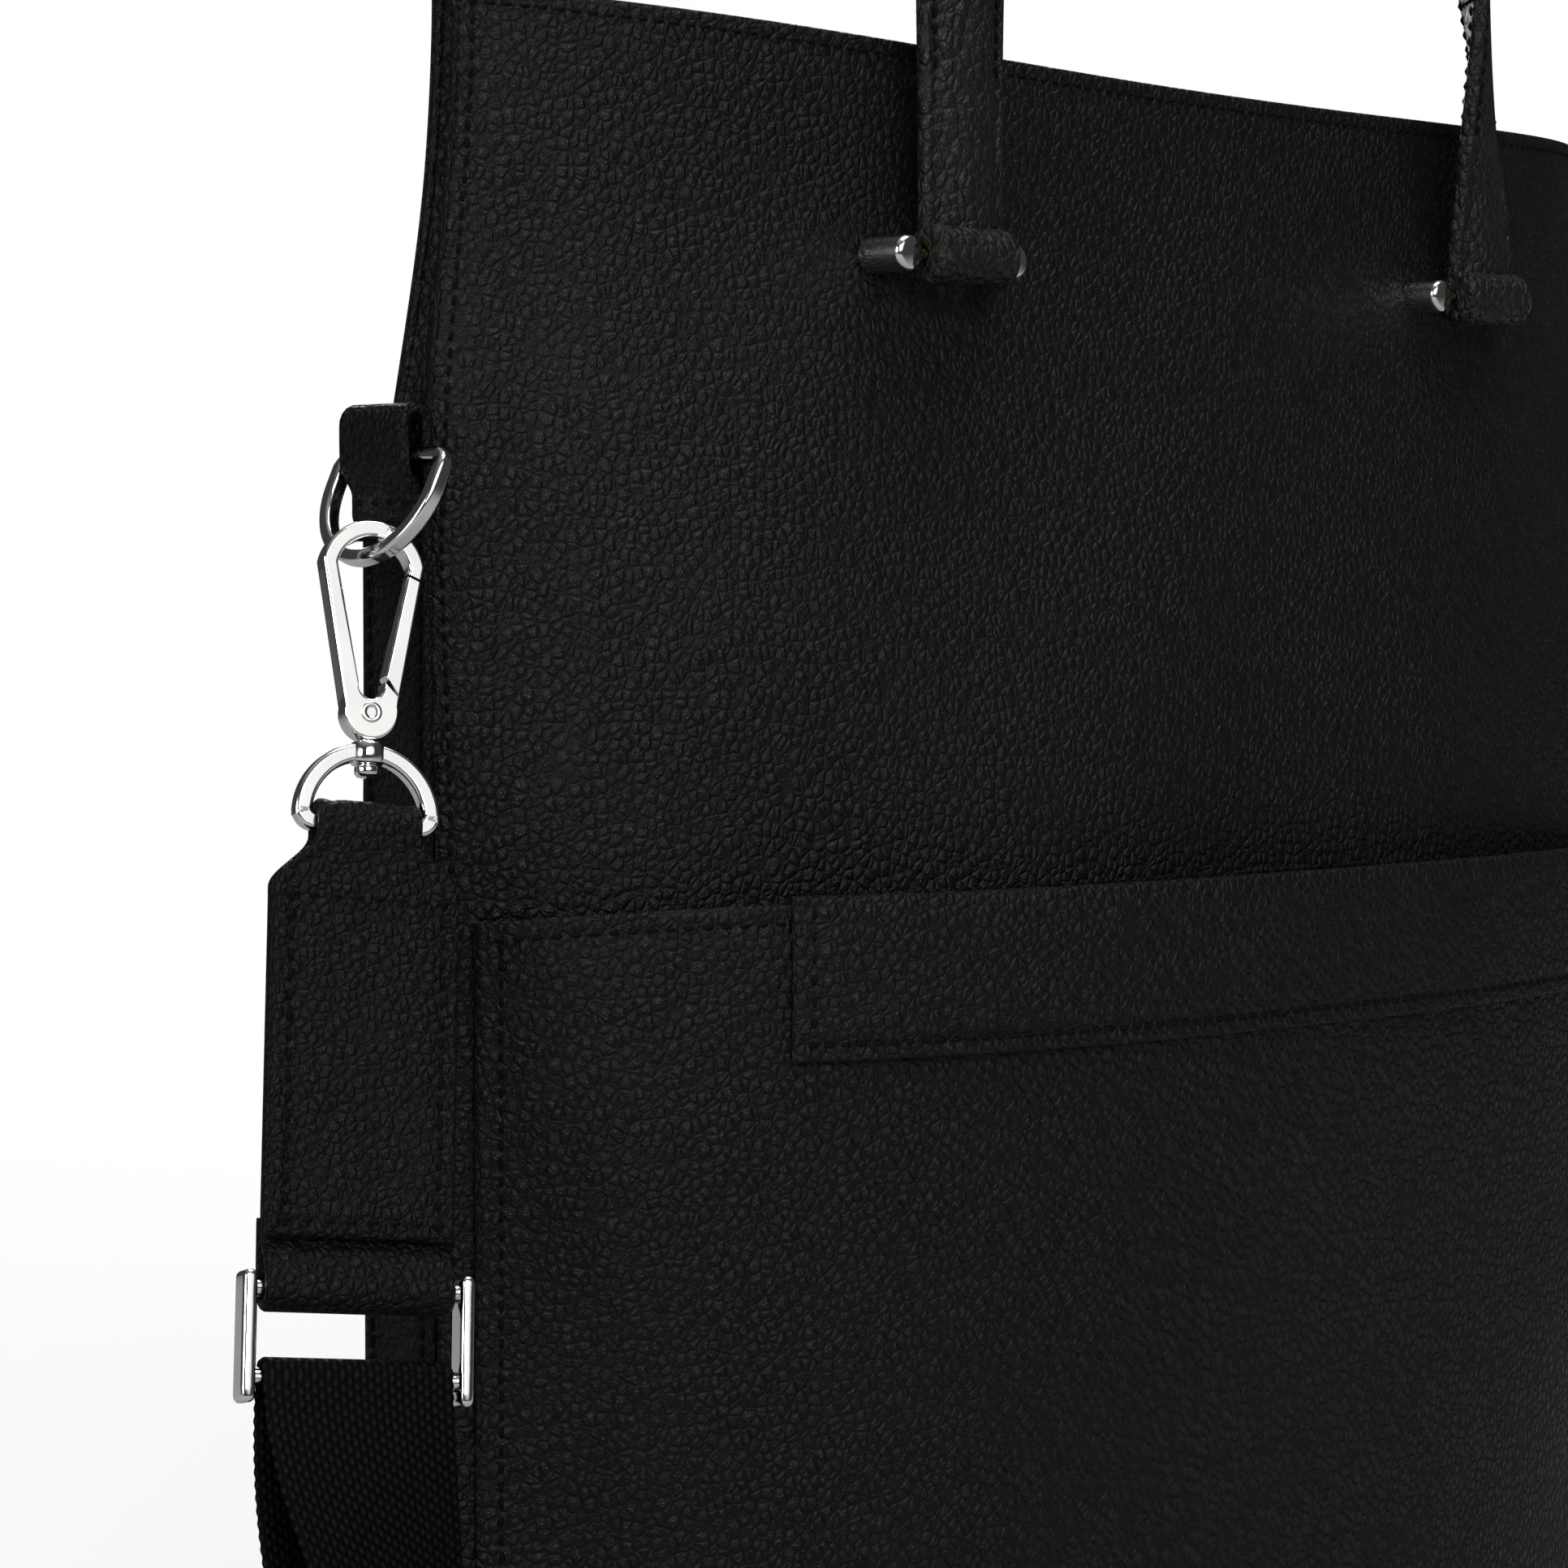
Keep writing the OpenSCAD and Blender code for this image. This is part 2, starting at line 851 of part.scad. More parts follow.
module strap_tab_shape() {
    color(black) strap_frame()
        difference() {
            union() {
                translate([0, -tab_t / 2, 0]) plate(tab_t) tab_outline(tab_front_end);
                translate([0, tab_t / 2, 0]) plate(tab_t) tab_outline(slider_bar_s);
                translate([0, 0, -ring_bar_s]) rod_x(ring_bar_r + hold_gap + tab_roll, neck_w);
                translate([0, 0, -slider_bar_s]) rod_x(slider_bar_r + hold_gap + tab_roll, strap_w);
            }
            translate([0, 0, -ring_bar_s]) rod_x(ring_bar_r + hold_gap, 2 * neck_w);
            translate([0, 0, -slider_bar_s]) rod_x(slider_bar_r + hold_gap, 2 * strap_w);
        }
}

module left_strap_tab() {
    strap_tab_shape();
}

module right_strap_tab() {
    mirror([1, 0, 0]) strap_tab_shape();
}

// Flat metal loop between the tab and the webbing
module slider_shape() {
    color(chrome) strap_frame() {
        for (side = [-1, 1])
            translate([side * (slider_w - slider_side) / 2, 0, -(slider_top + slider_end) / 2])
                cube([slider_side, slider_deep, slider_end - slider_top], center = true);
        for (s = [slider_bar_s, slider_low_s])
            translate([0, 0, -s]) rod_x(slider_bar_r, slider_w - slider_side);
    }
}

module left_slider() {
    slider_shape();
}

module right_slider() {
    mirror([1, 0, 0]) slider_shape();
}

// Webbing that hangs from the slider: the middle line curves from the tab's line to upright
web_from = hook_top + slider_low_s * strap_down;
web_to = [-run_x, drop_y, drop_z];
function mix(a, b, t) = a + (b - a) * t;
function web_mid(t) =
    let (p = web_from + drop_lean * strap_down, q = web_to + [0, 0, drop_lean])
    pow(1 - t, 3) * web_from + 3 * pow(1 - t, 2) * t * p + 3 * (1 - t) * t * t * q + pow(t, 3) * web_to;
function web_turn(t) = -strap_turn * (1 - ease(2 * t)) + web_swing * sin(180 * t);
function web_part(t, layer) =
    layer * (mix(slider_bar_r + hold_gap + web_t / 2, web_t / 2 + web_touch, t) + web_open * sin(180 * t));
function web_ring(t, layer) =
    let (mid = web_mid(t),
        wide = [cos(web_turn(t)), sin(web_turn(t)), 0],
        deep = [-wide.y, wide.x, 0] + [0, 0, mix(-sin(strap_tilt), 0, min(1, 2 * t))],
        at = mid + deep * web_part(t, layer))
    [for (p = [[-1, -1], [1, -1], [1, 1], [-1, 1]])
        at + wide * (p[0] * strap_w / 2) + deep * (p[1] * web_t / 2)];

// Fold of the webbing over the slider's lower bar
module web_fold() {
    fold_r = slider_bar_r + hold_gap + web_t;
    strap_frame()
        translate([0, 0, -slider_low_s])
            difference() {
                rod_x(fold_r, strap_w);
                rod_x(slider_bar_r + hold_gap, 2 * strap_w);
                translate([0, 0, -fold_r - fold_cut])
                    cube([2 * strap_w, 4 * fold_r, 2 * fold_r], center = true);
            }
}

module left_webbing_drop() {
    color(weave) {
        web_fold();
        for (layer = [-1, 1])
            sweep([for (i = [0:steps]) web_ring(i / steps, layer)]);
    }
}

// On the right the webbing's end is sewn back a short way below the slider
module right_webbing_drop() {
    color(weave) mirror([1, 0, 0]) {
        web_fold();
        sweep([for (i = [0:steps]) web_ring(i / steps, -1)]);
        sweep([for (i = [0:steps / 2]) web_ring(i / steps, 1)]);
    }
}

// Webbing that bends from the drop to the floor and runs back beside the bag
module floor_run(layer) {
    out = layer < 0 ? bend_r + web_t : bend_r - web_apart;
    half = strap_w / 2;
    centre = [-run_x, drop_y + bend_r, drop_z - run_gap];
    section = [[-half, 0], [half, 0], [half, -web_t], [-half, -web_t]];
    bend = [for (i = [0:6]) [for (p = section)
        centre + [p[0], -(out + p[1]) * cos(15 * i), -(out + p[1]) * sin(15 * i)]]];
    flat = [for (p = section) centre + [p[0], back_y + half - centre.y, -(out + p[1])]];
    sweep(concat(bend, [flat]));
}

module left_webbing_run() {
    color(weave)
        for (layer = [-1, 1])
            floor_run(layer);
}

module right_webbing_run() {
    color(weave) mirror([1, 0, 0]) floor_run(-1);
}

// Webbing behind the bag, doubled up to its loose tail
module back_webbing_run() {
    half = run_x + strap_w / 2;
    color(weave) {
        translate([-half, back_y - strap_w / 2, back_z]) cube([2 * half, strap_w, web_t]);
        translate([-half, back_y - strap_w / 2, back_z + web_t + web_apart])
            cube([half + tail_x, strap_w, web_t]);
    }
}

// Adjuster: side bars, two bars below the webbing and one above it
module strap_adjuster() {
    low = back_z - adjuster_bar - adjuster_low;
    high = back_z + 2 * web_t + adjuster_high;
    wide = strap_w + 2 * adjuster_side;
    color(chrome)
        translate([adjuster_x, back_y, 0]) {
            for (side = [-1, 1])
                translate([-adjuster_l / 2, side * (wide + adjuster_bar) / 2 - adjuster_bar / 2, low])
                    cube([adjuster_l, adjuster_bar, high + adjuster_bar - low]);
            for (end = [-1, 1])
                translate([end * (adjuster_l - adjuster_bar) / 2, 0, low + adjuster_bar / 2])
                    cube([adjuster_bar, wide + adjuster_bar, adjuster_bar], center = true);
            translate([-adjuster_bar, -(wide + adjuster_bar) / 2, high])
                cube([2 * adjuster_bar, wide + adjuster_bar, adjuster_bar]);
        }
}

front_panel();
back_panel();
left_gusset();
right_gusset();
base_panel();
base_board();
lining();
front_facing();
back_facing();
front_pocket();
pocket_band();
inner_pocket();
magnet_front();
magnet_back();
left_side_strip();
right_side_strip();
front_handle();
back_handle();
front_handle_posts();
back_handle_posts();
front_handle_axles();
back_handle_axles();
front_backplates();
back_backplates();
front_post_nuts();
back_post_nuts();
left_d_ring();
right_d_ring();
left_hook();
right_hook();
left_gate();
right_gate();
left_gate_pin();
right_gate_pin();
left_gate_spring();
right_gate_spring();
left_swivel_post();
right_swivel_post();
left_strap_ring();
right_strap_ring();
left_strap_tab();
right_strap_tab();
left_slider();
right_slider();
left_webbing_drop();
right_webbing_drop();
left_webbing_run();
back_webbing_run();
right_webbing_run();
strap_adjuster();
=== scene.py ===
"""Looks of a black pebbled-leather carry bag with two handles and a clip-on webbing strap.

Every piece is a surface worked out with numpy in metres, in the frame of the packed model.
"""

import math

import bpy
import numpy as np
from bpy.props import FloatProperty, FloatVectorProperty, PointerProperty
from bpy.types import Operator, Panel, PropertyGroup
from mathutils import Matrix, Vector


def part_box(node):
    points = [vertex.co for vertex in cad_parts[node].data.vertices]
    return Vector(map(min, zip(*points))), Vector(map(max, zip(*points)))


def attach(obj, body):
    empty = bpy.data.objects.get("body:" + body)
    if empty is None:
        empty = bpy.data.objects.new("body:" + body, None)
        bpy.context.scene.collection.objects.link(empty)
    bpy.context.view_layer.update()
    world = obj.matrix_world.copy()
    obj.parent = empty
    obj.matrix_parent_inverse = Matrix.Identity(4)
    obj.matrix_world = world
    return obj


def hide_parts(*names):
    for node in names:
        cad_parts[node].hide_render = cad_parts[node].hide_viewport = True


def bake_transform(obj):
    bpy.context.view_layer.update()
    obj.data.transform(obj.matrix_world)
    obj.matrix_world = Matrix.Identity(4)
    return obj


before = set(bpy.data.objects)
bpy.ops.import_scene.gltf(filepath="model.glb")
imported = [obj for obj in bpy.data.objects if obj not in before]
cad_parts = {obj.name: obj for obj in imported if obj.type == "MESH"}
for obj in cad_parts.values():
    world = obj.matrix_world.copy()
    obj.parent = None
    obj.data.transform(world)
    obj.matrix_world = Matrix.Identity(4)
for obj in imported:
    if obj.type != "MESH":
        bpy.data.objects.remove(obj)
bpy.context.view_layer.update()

bl_info = {
    "name": "Leather Carry Bag",
    "version": (1, 0, 0),
    "blender": (4, 5, 0),
    "location": "View3D > Sidebar > Bag",
    "description": "Builds a pebbled-leather carry bag with a clip-on webbing strap",
    "category": "Add Mesh",
}

# Clearance between pieces that lie on each other, and thickness of the lining
MM = 0.001
GAP = 0.15 * MM
CLOTH = 0.8 * MM

PANEL_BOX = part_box("front_panel")
FACES = (("front", -1), ("back", 1))
SIDES = (("left", -1), ("right", 1))
ENDS = (-1, 1)
X_AXIS, Y_AXIS, Z_AXIS = np.eye(3)
WHITE = (1.0, 1.0, 1.0, 1.0)

# Distances of the sewing from the edges, and where it starts above the floor
SEAM, HEM, FOOT_SEWING = 2.1 * MM, 2.7 * MM, 6 * MM
POCKET_SEAM, POCKET_HEM = 3.0 * MM, 3.2 * MM

# Hanging ring, hook, strap ring and slider; lengths down the strap start at the hook's top
D_HALF, D_SIDE, D_WIDE, D_THICK, BAR_R = 12.75 * MM, 5.8 * MM, 3.0 * MM, 2.5 * MM, 1.2 * MM
RING_SHIFT = -4.0 * MM
HOOK_R, HOOK_WIRE, HOOK_T, PIVOT, BLOCK_R = 8.75 * MM, 2.8 * MM, 4.2 * MM, 32.0 * MM, 4.5 * MM
EYE_R, EYE_S, EYE_FOOT, EYE_END = 6.15 * MM, 8.95 * MM, 2.2 * MM, 27.4 * MM
HOOK_END = PIVOT + BLOCK_R
RING_TOP, RING_R, RING_WIRE, RING_BAR = HOOK_END + 0.3 * MM, 12.2 * MM, 3.0 * MM, 50.2 * MM
BOSS_R, BOSS_L, POST_R = 2.8 * MM, 3.6 * MM, 1.4 * MM
SLIDER_BAR, SLIDER_LOW, SLIDER_TOP, SLIDER_END = 124.6 * MM, 138.6 * MM, 122.0 * MM, 142.5 * MM

# Webbing: bar radius with its clearance, warp rib, weft pitch, length of a slant fold
SLIDER_GAP, RIB, WEFT, FOLD = 1.75 * MM, 1.15 * MM, 1.9 * MM, 20 * MM

# Lamps: name, place and size
LAMPS = (("key", (-0.85, -1.45, 0.95), 0.9), ("fill", (-1.9, -0.15, 0.75), 0.8),
         ("top", (0.1, -0.35, 1.8), 1.0), ("back", (1.25, 1.35, 1.0), 1.0))

# Bright parts of the reflected room: direction, cosine at the rim and inside, strength
ROOM = (((-0.07, -0.90, 0.43), 0.93, 0.98, 1.15), ((-0.97, 0.05, 0.24), 0.90, 0.98, 0.5),
        ((0.0, 0.0, 1.0), 0.60, 0.95, 0.35))


def length(name, description, default):
    """Property for a length in metres."""
    return FloatProperty(name=name, description=description, default=default, unit="LENGTH",
                         subtype="DISTANCE", precision=5)


def angle(name, description, degrees):
    """Property for an angle."""
    return FloatProperty(name=name, description=description, default=math.radians(degrees),
                         unit="ROTATION", subtype="ANGLE")


def number(name, description, default):
    """Property for a plain number."""
    return FloatProperty(name=name, description=description, default=default, precision=4)


def colour(name, description, default):
    """Property for a linear colour."""
    return FloatVectorProperty(name=name, description=description, default=default, size=3,
                               subtype="COLOR", min=0.0, max=1.0)


class BagShape(PropertyGroup):
    """Form of the leather body."""

    width: length("Width", "Across the side seams", 2 * PANEL_BOX[1].x)
    height: length("Height", "Base to top edge, before it sags", 0.320)
    belly: length("Belly", "How far each panel bulges low down", 0.048)
    mouth: length("Mouth", "How far each panel bulges at the top", 0.028)
    depth: length("Gusset", "Half the depth of the side gusset", 0.0095)
    leather: length("Leather", "Thickness of the panels", 0.0024)
    taper_from: length("Taper height", "Where the sides begin to draw in", 0.215)
    side_draw: length("Side draw", "How far each side draws in at the top", 0.0107)
    pinch_from: length("Pinch height", "Where the gusset begins to close", 0.180)
    pinch_top: length("Pinch top", "Where the gusset is fully closed", 0.292)
    pinch: length("Pinch", "How far half the gusset closes", 0.006)
    belly_top: length("Belly height", "Top of the full part of the bulge", 0.120)
    low_power: number("Low squareness", "Exponent of the bulge low down", 2.6)
    top_power: number("Top squareness", "Exponent of the bulge at the top", 4.0)
    foot: length("Foot", "Height of the rounded foot", 0.012)
    foot_tuck: length("Foot tuck", "How far the foot is drawn in", 0.006)
    facing_from: length("Facing height", "Lower edge of the inner facings", 0.262)
    sag_from: length("Sag height", "Where the soft top begins to sag", 0.290)
    top_sag: length("Sag", "How far the middle of the top edge sags", 0.0034)
    corner_rise: length("Corner rise", "Height of the top corners above the middle", 0.005)
    edge_slope: number("Edge slope", "Slope of the top edge along the width", 0.0125)


class PocketShape(PropertyGroup):
    """Front slip pocket and the band over its edge."""

    height: length("Height", "Top edge of the pocket", 0.171)
    dip: length("Dip", "How far the edge sinks at its ends", 0.0028)
    gap: length("Gap", "How far the edge stands off the panel", 0.008)
    inset: length("Inset", "Distance of its sides from the seams", 0.0045)
    leather: length("Leather", "Thickness of the pocket", 0.002)
    band_half: length("Band half length", "Half the length of the band", 0.124)
    band_height: length("Band height", "Height of the band", 0.028)
    band_rise: length("Band rise", "Height of the band above the edge", 0.0009)
    band_leather: length("Band leather", "Thickness of the band", 0.0015)


class HandleShape(PropertyGroup):
    """Handles and the posts that carry them."""

    foot_x: length("Foot", "Distance of each foot from the middle", 0.0765)
    axle_y: length("Axle depth", "Distance of the axles from the middle plane", 0.038974)
    axle_z: length("Axle height", "Height of the axles", 0.281)
    arch: length("Arch", "Height of the arch above the axles", 0.187)
    width: length("Width", "Width of the strap", 0.020)
    thick: length("Thickness", "Thickness of the strap", 0.003)
    foot_half: length("Foot length", "Half the length of the folded foot", 0.010)
    foot_deep: length("Foot depth", "Half the depth of the folded foot", 0.0046)
    foot_fore: length("Foot fore", "How far the foot is fuller towards the front", 0.0012)
    foot_up: length("Foot rise", "Centre of the foot's upper bend above the axle", 0.0006)
    foot_down: length("Foot drop", "Centre of the foot's lower bend below the axle", 0.0006)
    lean: length("Lean", "How far the arch leans inwards", 0.012)
    bow: number("Bow", "Exponent of the arch", 0.74)
    twist: number("Twist", "How soon the left leg turns edge up", 1.2)
    twist_power: number("Early twist", "How soon the right leg turns edge up", 5.0)
    back_fold: angle("Back fold", "How far the back handle hangs down from upright", 160)
    post_x: length("Post spacing", "Distance of each post from its foot's middle", 0.0135)
    post_r: length("Post radius", "Radius of a post", 0.00325)
    post_tip: length("Post overhang", "Post length past the axle", 0.0016)


class StrapShape(PropertyGroup):
    """Side strips, rings, hooks, tabs and webbing."""

    bar_x: length("Bar reach", "Distance of the ring's bar from the middle", 0.17515)
    bar_z: length("Bar height", "Height of the ring's bar", 0.245)
    loop_rise: length("Loop rise", "Centre of the loop's top bend above the bar", 0.0052)
    strip: length("Strip", "Width of the side strip", 0.0168)
    strip_shift: length("Strip shift", "How far the side strip is moved to the back", -0.00135)
    ring_tilt: angle("Ring tilt", "Tilt of the hanging ring", 25)
    tilt: angle("Tilt", "Lean of the hanging strap", 14)
    turn: angle("Turn", "Turn of the hanging strap about its length", 22)
    width: length("Width", "Width of the webbing", 0.031)
    web: length("Webbing", "Thickness of the webbing", 0.0015)
    run_x: length("Run", "Distance of the floor run from the middle", 0.2065)
    back_y: length("Back run", "Distance of the back run from the middle plane", 0.089)
    drop_y: length("Drop depth", "Where the webbing meets the floor", -0.041)
    drop_z: length("Drop height", "Where the webbing begins to bend", 0.016)


class StitchSize(PropertyGroup):
    """Sewing."""

    pitch: length("Pitch", "Distance between stitches", 0.0029)
    thread: length("Thread", "Thickness of the thread", 0.0009)


class Finish(PropertyGroup):
    """Colours and grain."""

    leather: colour("Leather", "Colour of the leather", (0.0037, 0.0036, 0.0038))
    leather_light: colour("Leather tops", "Colour of the paler pebbles", (0.0060, 0.0059, 0.0061))
    # crease is painted shade: a darker colour laid into the creases between the pebbles
    crease: colour("Crease", "Colour between the pebbles", (0.0016, 0.0016, 0.0017))
    thread: colour("Thread", "Colour of the sewing thread", (0.0012, 0.0012, 0.0013))
    webbing: colour("Webbing", "Colour of the webbing", (0.0017, 0.0017, 0.0018))
    cloth: colour("Lining", "Colour of the lining cloth", (0.022, 0.022, 0.024))
    chrome: colour("Chrome", "Colour of the polished metal", (0.80, 0.785, 0.77))
    steel: colour("Steel", "Colour of the plain metal", (0.42, 0.42, 0.43))
    brass: colour("Brass", "Colour of the axles", (0.62, 0.45, 0.20))
    board: colour("Board", "Colour of the base board", (0.10, 0.085, 0.065))
    floor: colour("Floor", "Colour of the floor", (0.90, 0.90, 0.90))
    pebble: length("Pebble", "Size of a pebble of the grain", 0.0018)
    relief: length("Relief", "Depth of the grain", 0.0005)
    gloss: number("Gloss", "Roughness of the pebbles", 0.32)
    shine: number("Shine", "Strength of the pebbles' reflection", 0.17)


class ViewSetup(PropertyGroup):
    """Camera and light."""

    place: FloatVectorProperty(name="Place", description="Where the camera stands", size=3,
                               default=(-0.6275, -0.5465, 0.223), unit="LENGTH", subtype="XYZ")
    turn: angle("Turn", "Heading of the camera from the front", 45)
    pitch: angle("Pitch", "How far the camera looks down", 2.6)
    lens: number("Lens", "Focal length in millimetres", 98.1)
    key: number("Key", "Power of the key light in watts", 17.0)
    fill: number("Fill", "Power of the fill light in watts", 14.0)
    top: number("Top", "Power of the overhead light in watts", 16.0)
    back: number("Back", "Power of the light behind the bag in watts", 18.0)
    ambient: number("Ambient", "Strength of the surrounding light", 0.22)
    dim: number("Dim side", "Reflected strength of the dim room", 0.05)


def bag():
    """Form of the body, as set in the scene."""
    return bpy.context.scene.bag_shape


def strap():
    """Sizes of the strap, as set in the scene."""
    return bpy.context.scene.bag_strap


def ease(t):
    """Smooth rise from 0 to 1."""
    c = np.clip(t, 0.0, 1.0)
    return c * c * (3.0 - 2.0 * c)


def mix(a, b, t):
    """Value between a and b at a share t."""
    return a + (b - a) * t


def columns(*parts):
    """Points out of their coordinates, each an array or one number for all."""
    return np.stack(np.broadcast_arrays(*parts), axis=-1)


def unit(rows):
    """Directions with a length of one."""
    return rows / np.linalg.norm(rows, axis=-1, keepdims=True)


def run_along(path):
    """Distance of each point from the start of a row of points."""
    return np.concatenate([[0.0], np.cumsum(np.linalg.norm(np.diff(path, axis=0), axis=1))])


def groove(distance, depth, spread):
    """Sunk line or spot: a bell curve of the distance from its middle."""
    return -depth * np.exp(-(distance / spread) ** 2)


def level(x, z):
    """No change of height."""
    return 0.0


def half_width(z):
    """Half width of the body at height z: straight, then drawn in smoothly towards the top."""
    b = bag()
    return b.width / 2 - b.side_draw * ease((z - b.taper_from) / (b.height - b.taper_from))


def half_depth(z):
    """Half depth of the gusset at height z."""
    b = bag()
    return b.depth - b.pinch * ease((z - b.pinch_from) / (b.pinch_top - b.pinch_from))


def fullness(z):
    """1 in the belly of the bag, falling to 0 at its top edge."""
    b = bag()
    return 1.0 - ease((z - b.belly_top) / (b.height - b.belly_top))


def skin(x, z, off=0.0):
    """Distance of the leather from the middle plane: the gusset's half depth plus a bulge
    times one minus a power of the distance from the middle, all drawn in by off."""
    b = bag()
    full = fullness(z)
    tuck = b.foot_tuck * (1.0 - np.minimum(1.0, z / b.foot)) ** 2
    bulge = b.mouth + (b.belly - b.mouth) * full - tuck
    power = b.top_power + (b.low_power - b.top_power) * full
    q = np.minimum(1.0, np.abs(x) / (half_width(z) - off))
    return np.maximum(half_depth(z) - off + bulge * (1.0 - q ** power), GAP)


def top_dip(x, z):
    """How far the soft top edge sinks: a parabola across the width plus a slope, fading out
    downwards. It is negative at the corners, which stand up."""
    b = bag()
    shape = b.top_sag - b.corner_rise * (x / half_width(z)) ** 2 + b.edge_slope * x
    return shape * ease((z - b.sag_from) / (b.height - b.sag_from))



def loft(rings, closed=False):
    """Quads over equal rings of points, facing outwards. An open loft is capped by strips
    that join each point of an end ring to its mirror point."""
    count, n = rings.shape[:2]
    r = np.arange(count if closed else count - 1)[:, None]
    c = np.arange(n)
    after, beside = (r + 1) % count, (c + 1) % n
    quads = np.stack([r * n + c, r * n + beside, after * n + beside, after * n + c], axis=-1)
    quads = quads.reshape(-1, 4)
    if not closed:
        k = np.arange(n // 2 - 1)
        cap = np.stack([k, n - 1 - k, n - 2 - k, k + 1], axis=-1)
        quads = np.concatenate([quads, cap, cap[:, ::-1] + (count - 1) * n])
    return outward(rings.reshape(-1, 3), quads)


def shell(front, back):
    """Closed surface between two grids of points that share their edges."""
    return loft(np.concatenate([front, back[:, ::-1]], axis=1))


def outward(points, quads):
    """The same closed surface, turned so that its signed volume is positive."""
    p = points - points.mean(axis=0)
    a, b, c, d = (p[quads[:, i]] for i in range(4))
    volume = np.einsum("ij,ij->", a, np.cross(b, c)) + np.einsum("ij,ij->", a, np.cross(c, d))
    return points, quads if volume > 0 else quads[:, ::-1]


def join(parts):
    """One set of points and quads out of several."""
    points, quads, start = [], [], 0
    for p, q in parts:
        points.append(p)
        quads.append(q + start)
        start += len(p)
    return np.concatenate(points), np.concatenate(quads)


def flipped(part, axis):
    """Mirror image of a surface across the plane at right angles to an axis."""
    points, quads = part
    points = points.copy()
    points[:, axis] *= -1
    return points, quads[:, ::-1]


def soft_steps(size, n, r):
    """Distances from 0 to size, closer together within r of both ends."""
    near = r * np.array([0.0, 0.06, 0.22, 0.55])
    return np.concatenate([near, np.linspace(r, size - r, n), size - near[::-1]])


def soft_edge(distance, r):
    """Share of the full thickness at a distance from an edge that is rounded with radius r."""
    e = np.clip(distance / r, 0.0, 1.0)
    return np.sqrt(np.maximum(0.0, 1.0 - (1.0 - e) ** 2))


def section(half_w, half_t, across, curve, roundness):
    """Closed flat sections with rounded edges, a row for each pair of half sizes: the front
    from left to right, then the back again. Gives distances across and out of the face."""
    r = half_t * roundness
    bend = np.radians(np.linspace(172.0, 96.0, curve))
    left, rise = r - half_w + r * np.cos(bend), half_t - r + r * np.sin(bend)
    flat = np.linspace(-1.0, 1.0, across) * (half_w - r)
    x = np.concatenate([left, flat, -left[:, ::-1]], axis=1)
    y = np.concatenate([rise, np.broadcast_to(half_t, flat.shape), rise[:, ::-1]], axis=1)
    return np.concatenate([x, x[:, ::-1]], axis=1), np.concatenate([y, -y[:, ::-1]], axis=1)


def carry(centre, wide, deep, half_w, half_t, across=8, curve=4, roundness=1.0, closed=False,
          relief=None):
    """Flat rounded section carried along stations: each has a middle point, a direction
    across, a direction of its front face, a half width and a half thickness. relief(x)
    lifts the front face at distances x from the middle, a row for each station."""
    half_w, half_t = (np.broadcast_to(half, len(centre))[:, None] for half in (half_w, half_t))
    x, y = section(half_w, half_t, across, curve, roundness)
    if relief is not None:
        front = x.shape[1] // 2
        y[:, :front] += relief(x[:, :front])
    wide, deep = (np.broadcast_to(way, centre.shape)[:, None] for way in (wide, deep))
    return loft(centre[:, None] + x[..., None] * wide + y[..., None] * deep, closed)


def turned(profile, centre, axis, n):
    """Surface of revolution: (radius, height) pairs turned about an axis through centre."""
    helper = (1.0, 0.0, 0.0) if axis[0] == 0 else (0.0, 1.0, 0.0)
    u = unit(np.cross(axis, helper))
    v = np.cross(axis, u)
    t = (np.arange(n) + 0.5) * 2 * np.pi / n
    around = np.outer(np.cos(t), u) + np.outer(np.sin(t), v)
    r, h = np.array(profile).T[..., None, None]
    return loft(np.array(centre) + r * around + h * np.array(axis))


def tangents(path, closed=False):
    """Unit directions along a row of points."""
    if closed:
        return unit(np.roll(path, -1, axis=0) - np.roll(path, 1, axis=0))
    return unit(np.gradient(path, axis=0))


def spaced(path, step, *others):
    """Points at even steps along a row of points, and the rows of other arrays beside them."""
    run = run_along(path)
    at = np.linspace(0.0, run[-1], max(2, int(run[-1] / step)))
    rows = np.concatenate([path, *others], axis=1)
    return np.stack([np.interp(at, run, column) for column in rows.T], axis=1)


def sewing(path, normal):
    """Row of stitches along a path: each is a small rounded bead of thread, arched out of the
    leather at its middle and sunk into it at both ends. normal is one direction for all
    points or one for each."""
    size = bpy.context.scene.bag_stitch
    both = spaced(path, size.pitch, np.broadcast_to(normal, path.shape))
    at, up = both[:, :3], unit(both[:, 3:])
    along = tangents(at)
    side = np.cross(along, up)
    half, r = size.pitch * 0.4, size.thread / 2
    share = np.array([-1.0, -0.72, 0.0, 0.72, 1.0])[:, None]
    thin = np.array([0.35, 0.8, 1.0, 0.8, 0.35])[:, None]
    lift = np.array([-0.9, -0.25, 0.32, -0.25, -0.9])[:, None]
    turn = np.radians(np.arange(6) * 60 + 30)
    bead = columns(share * half, thin * r * np.cos(turn), thin * r * np.sin(turn) + lift * r)
    axes = np.stack([along, side, up], axis=1)
    points = at[:, None, None] + np.einsum("ijk,nkl->nijl", bead, axes)
    one = loft(points[0])[1]
    starts = np.arange(len(at)) * bead[..., 0].size
    return points.reshape(-1, 3), (one + starts[:, None, None]).reshape(-1, 4)


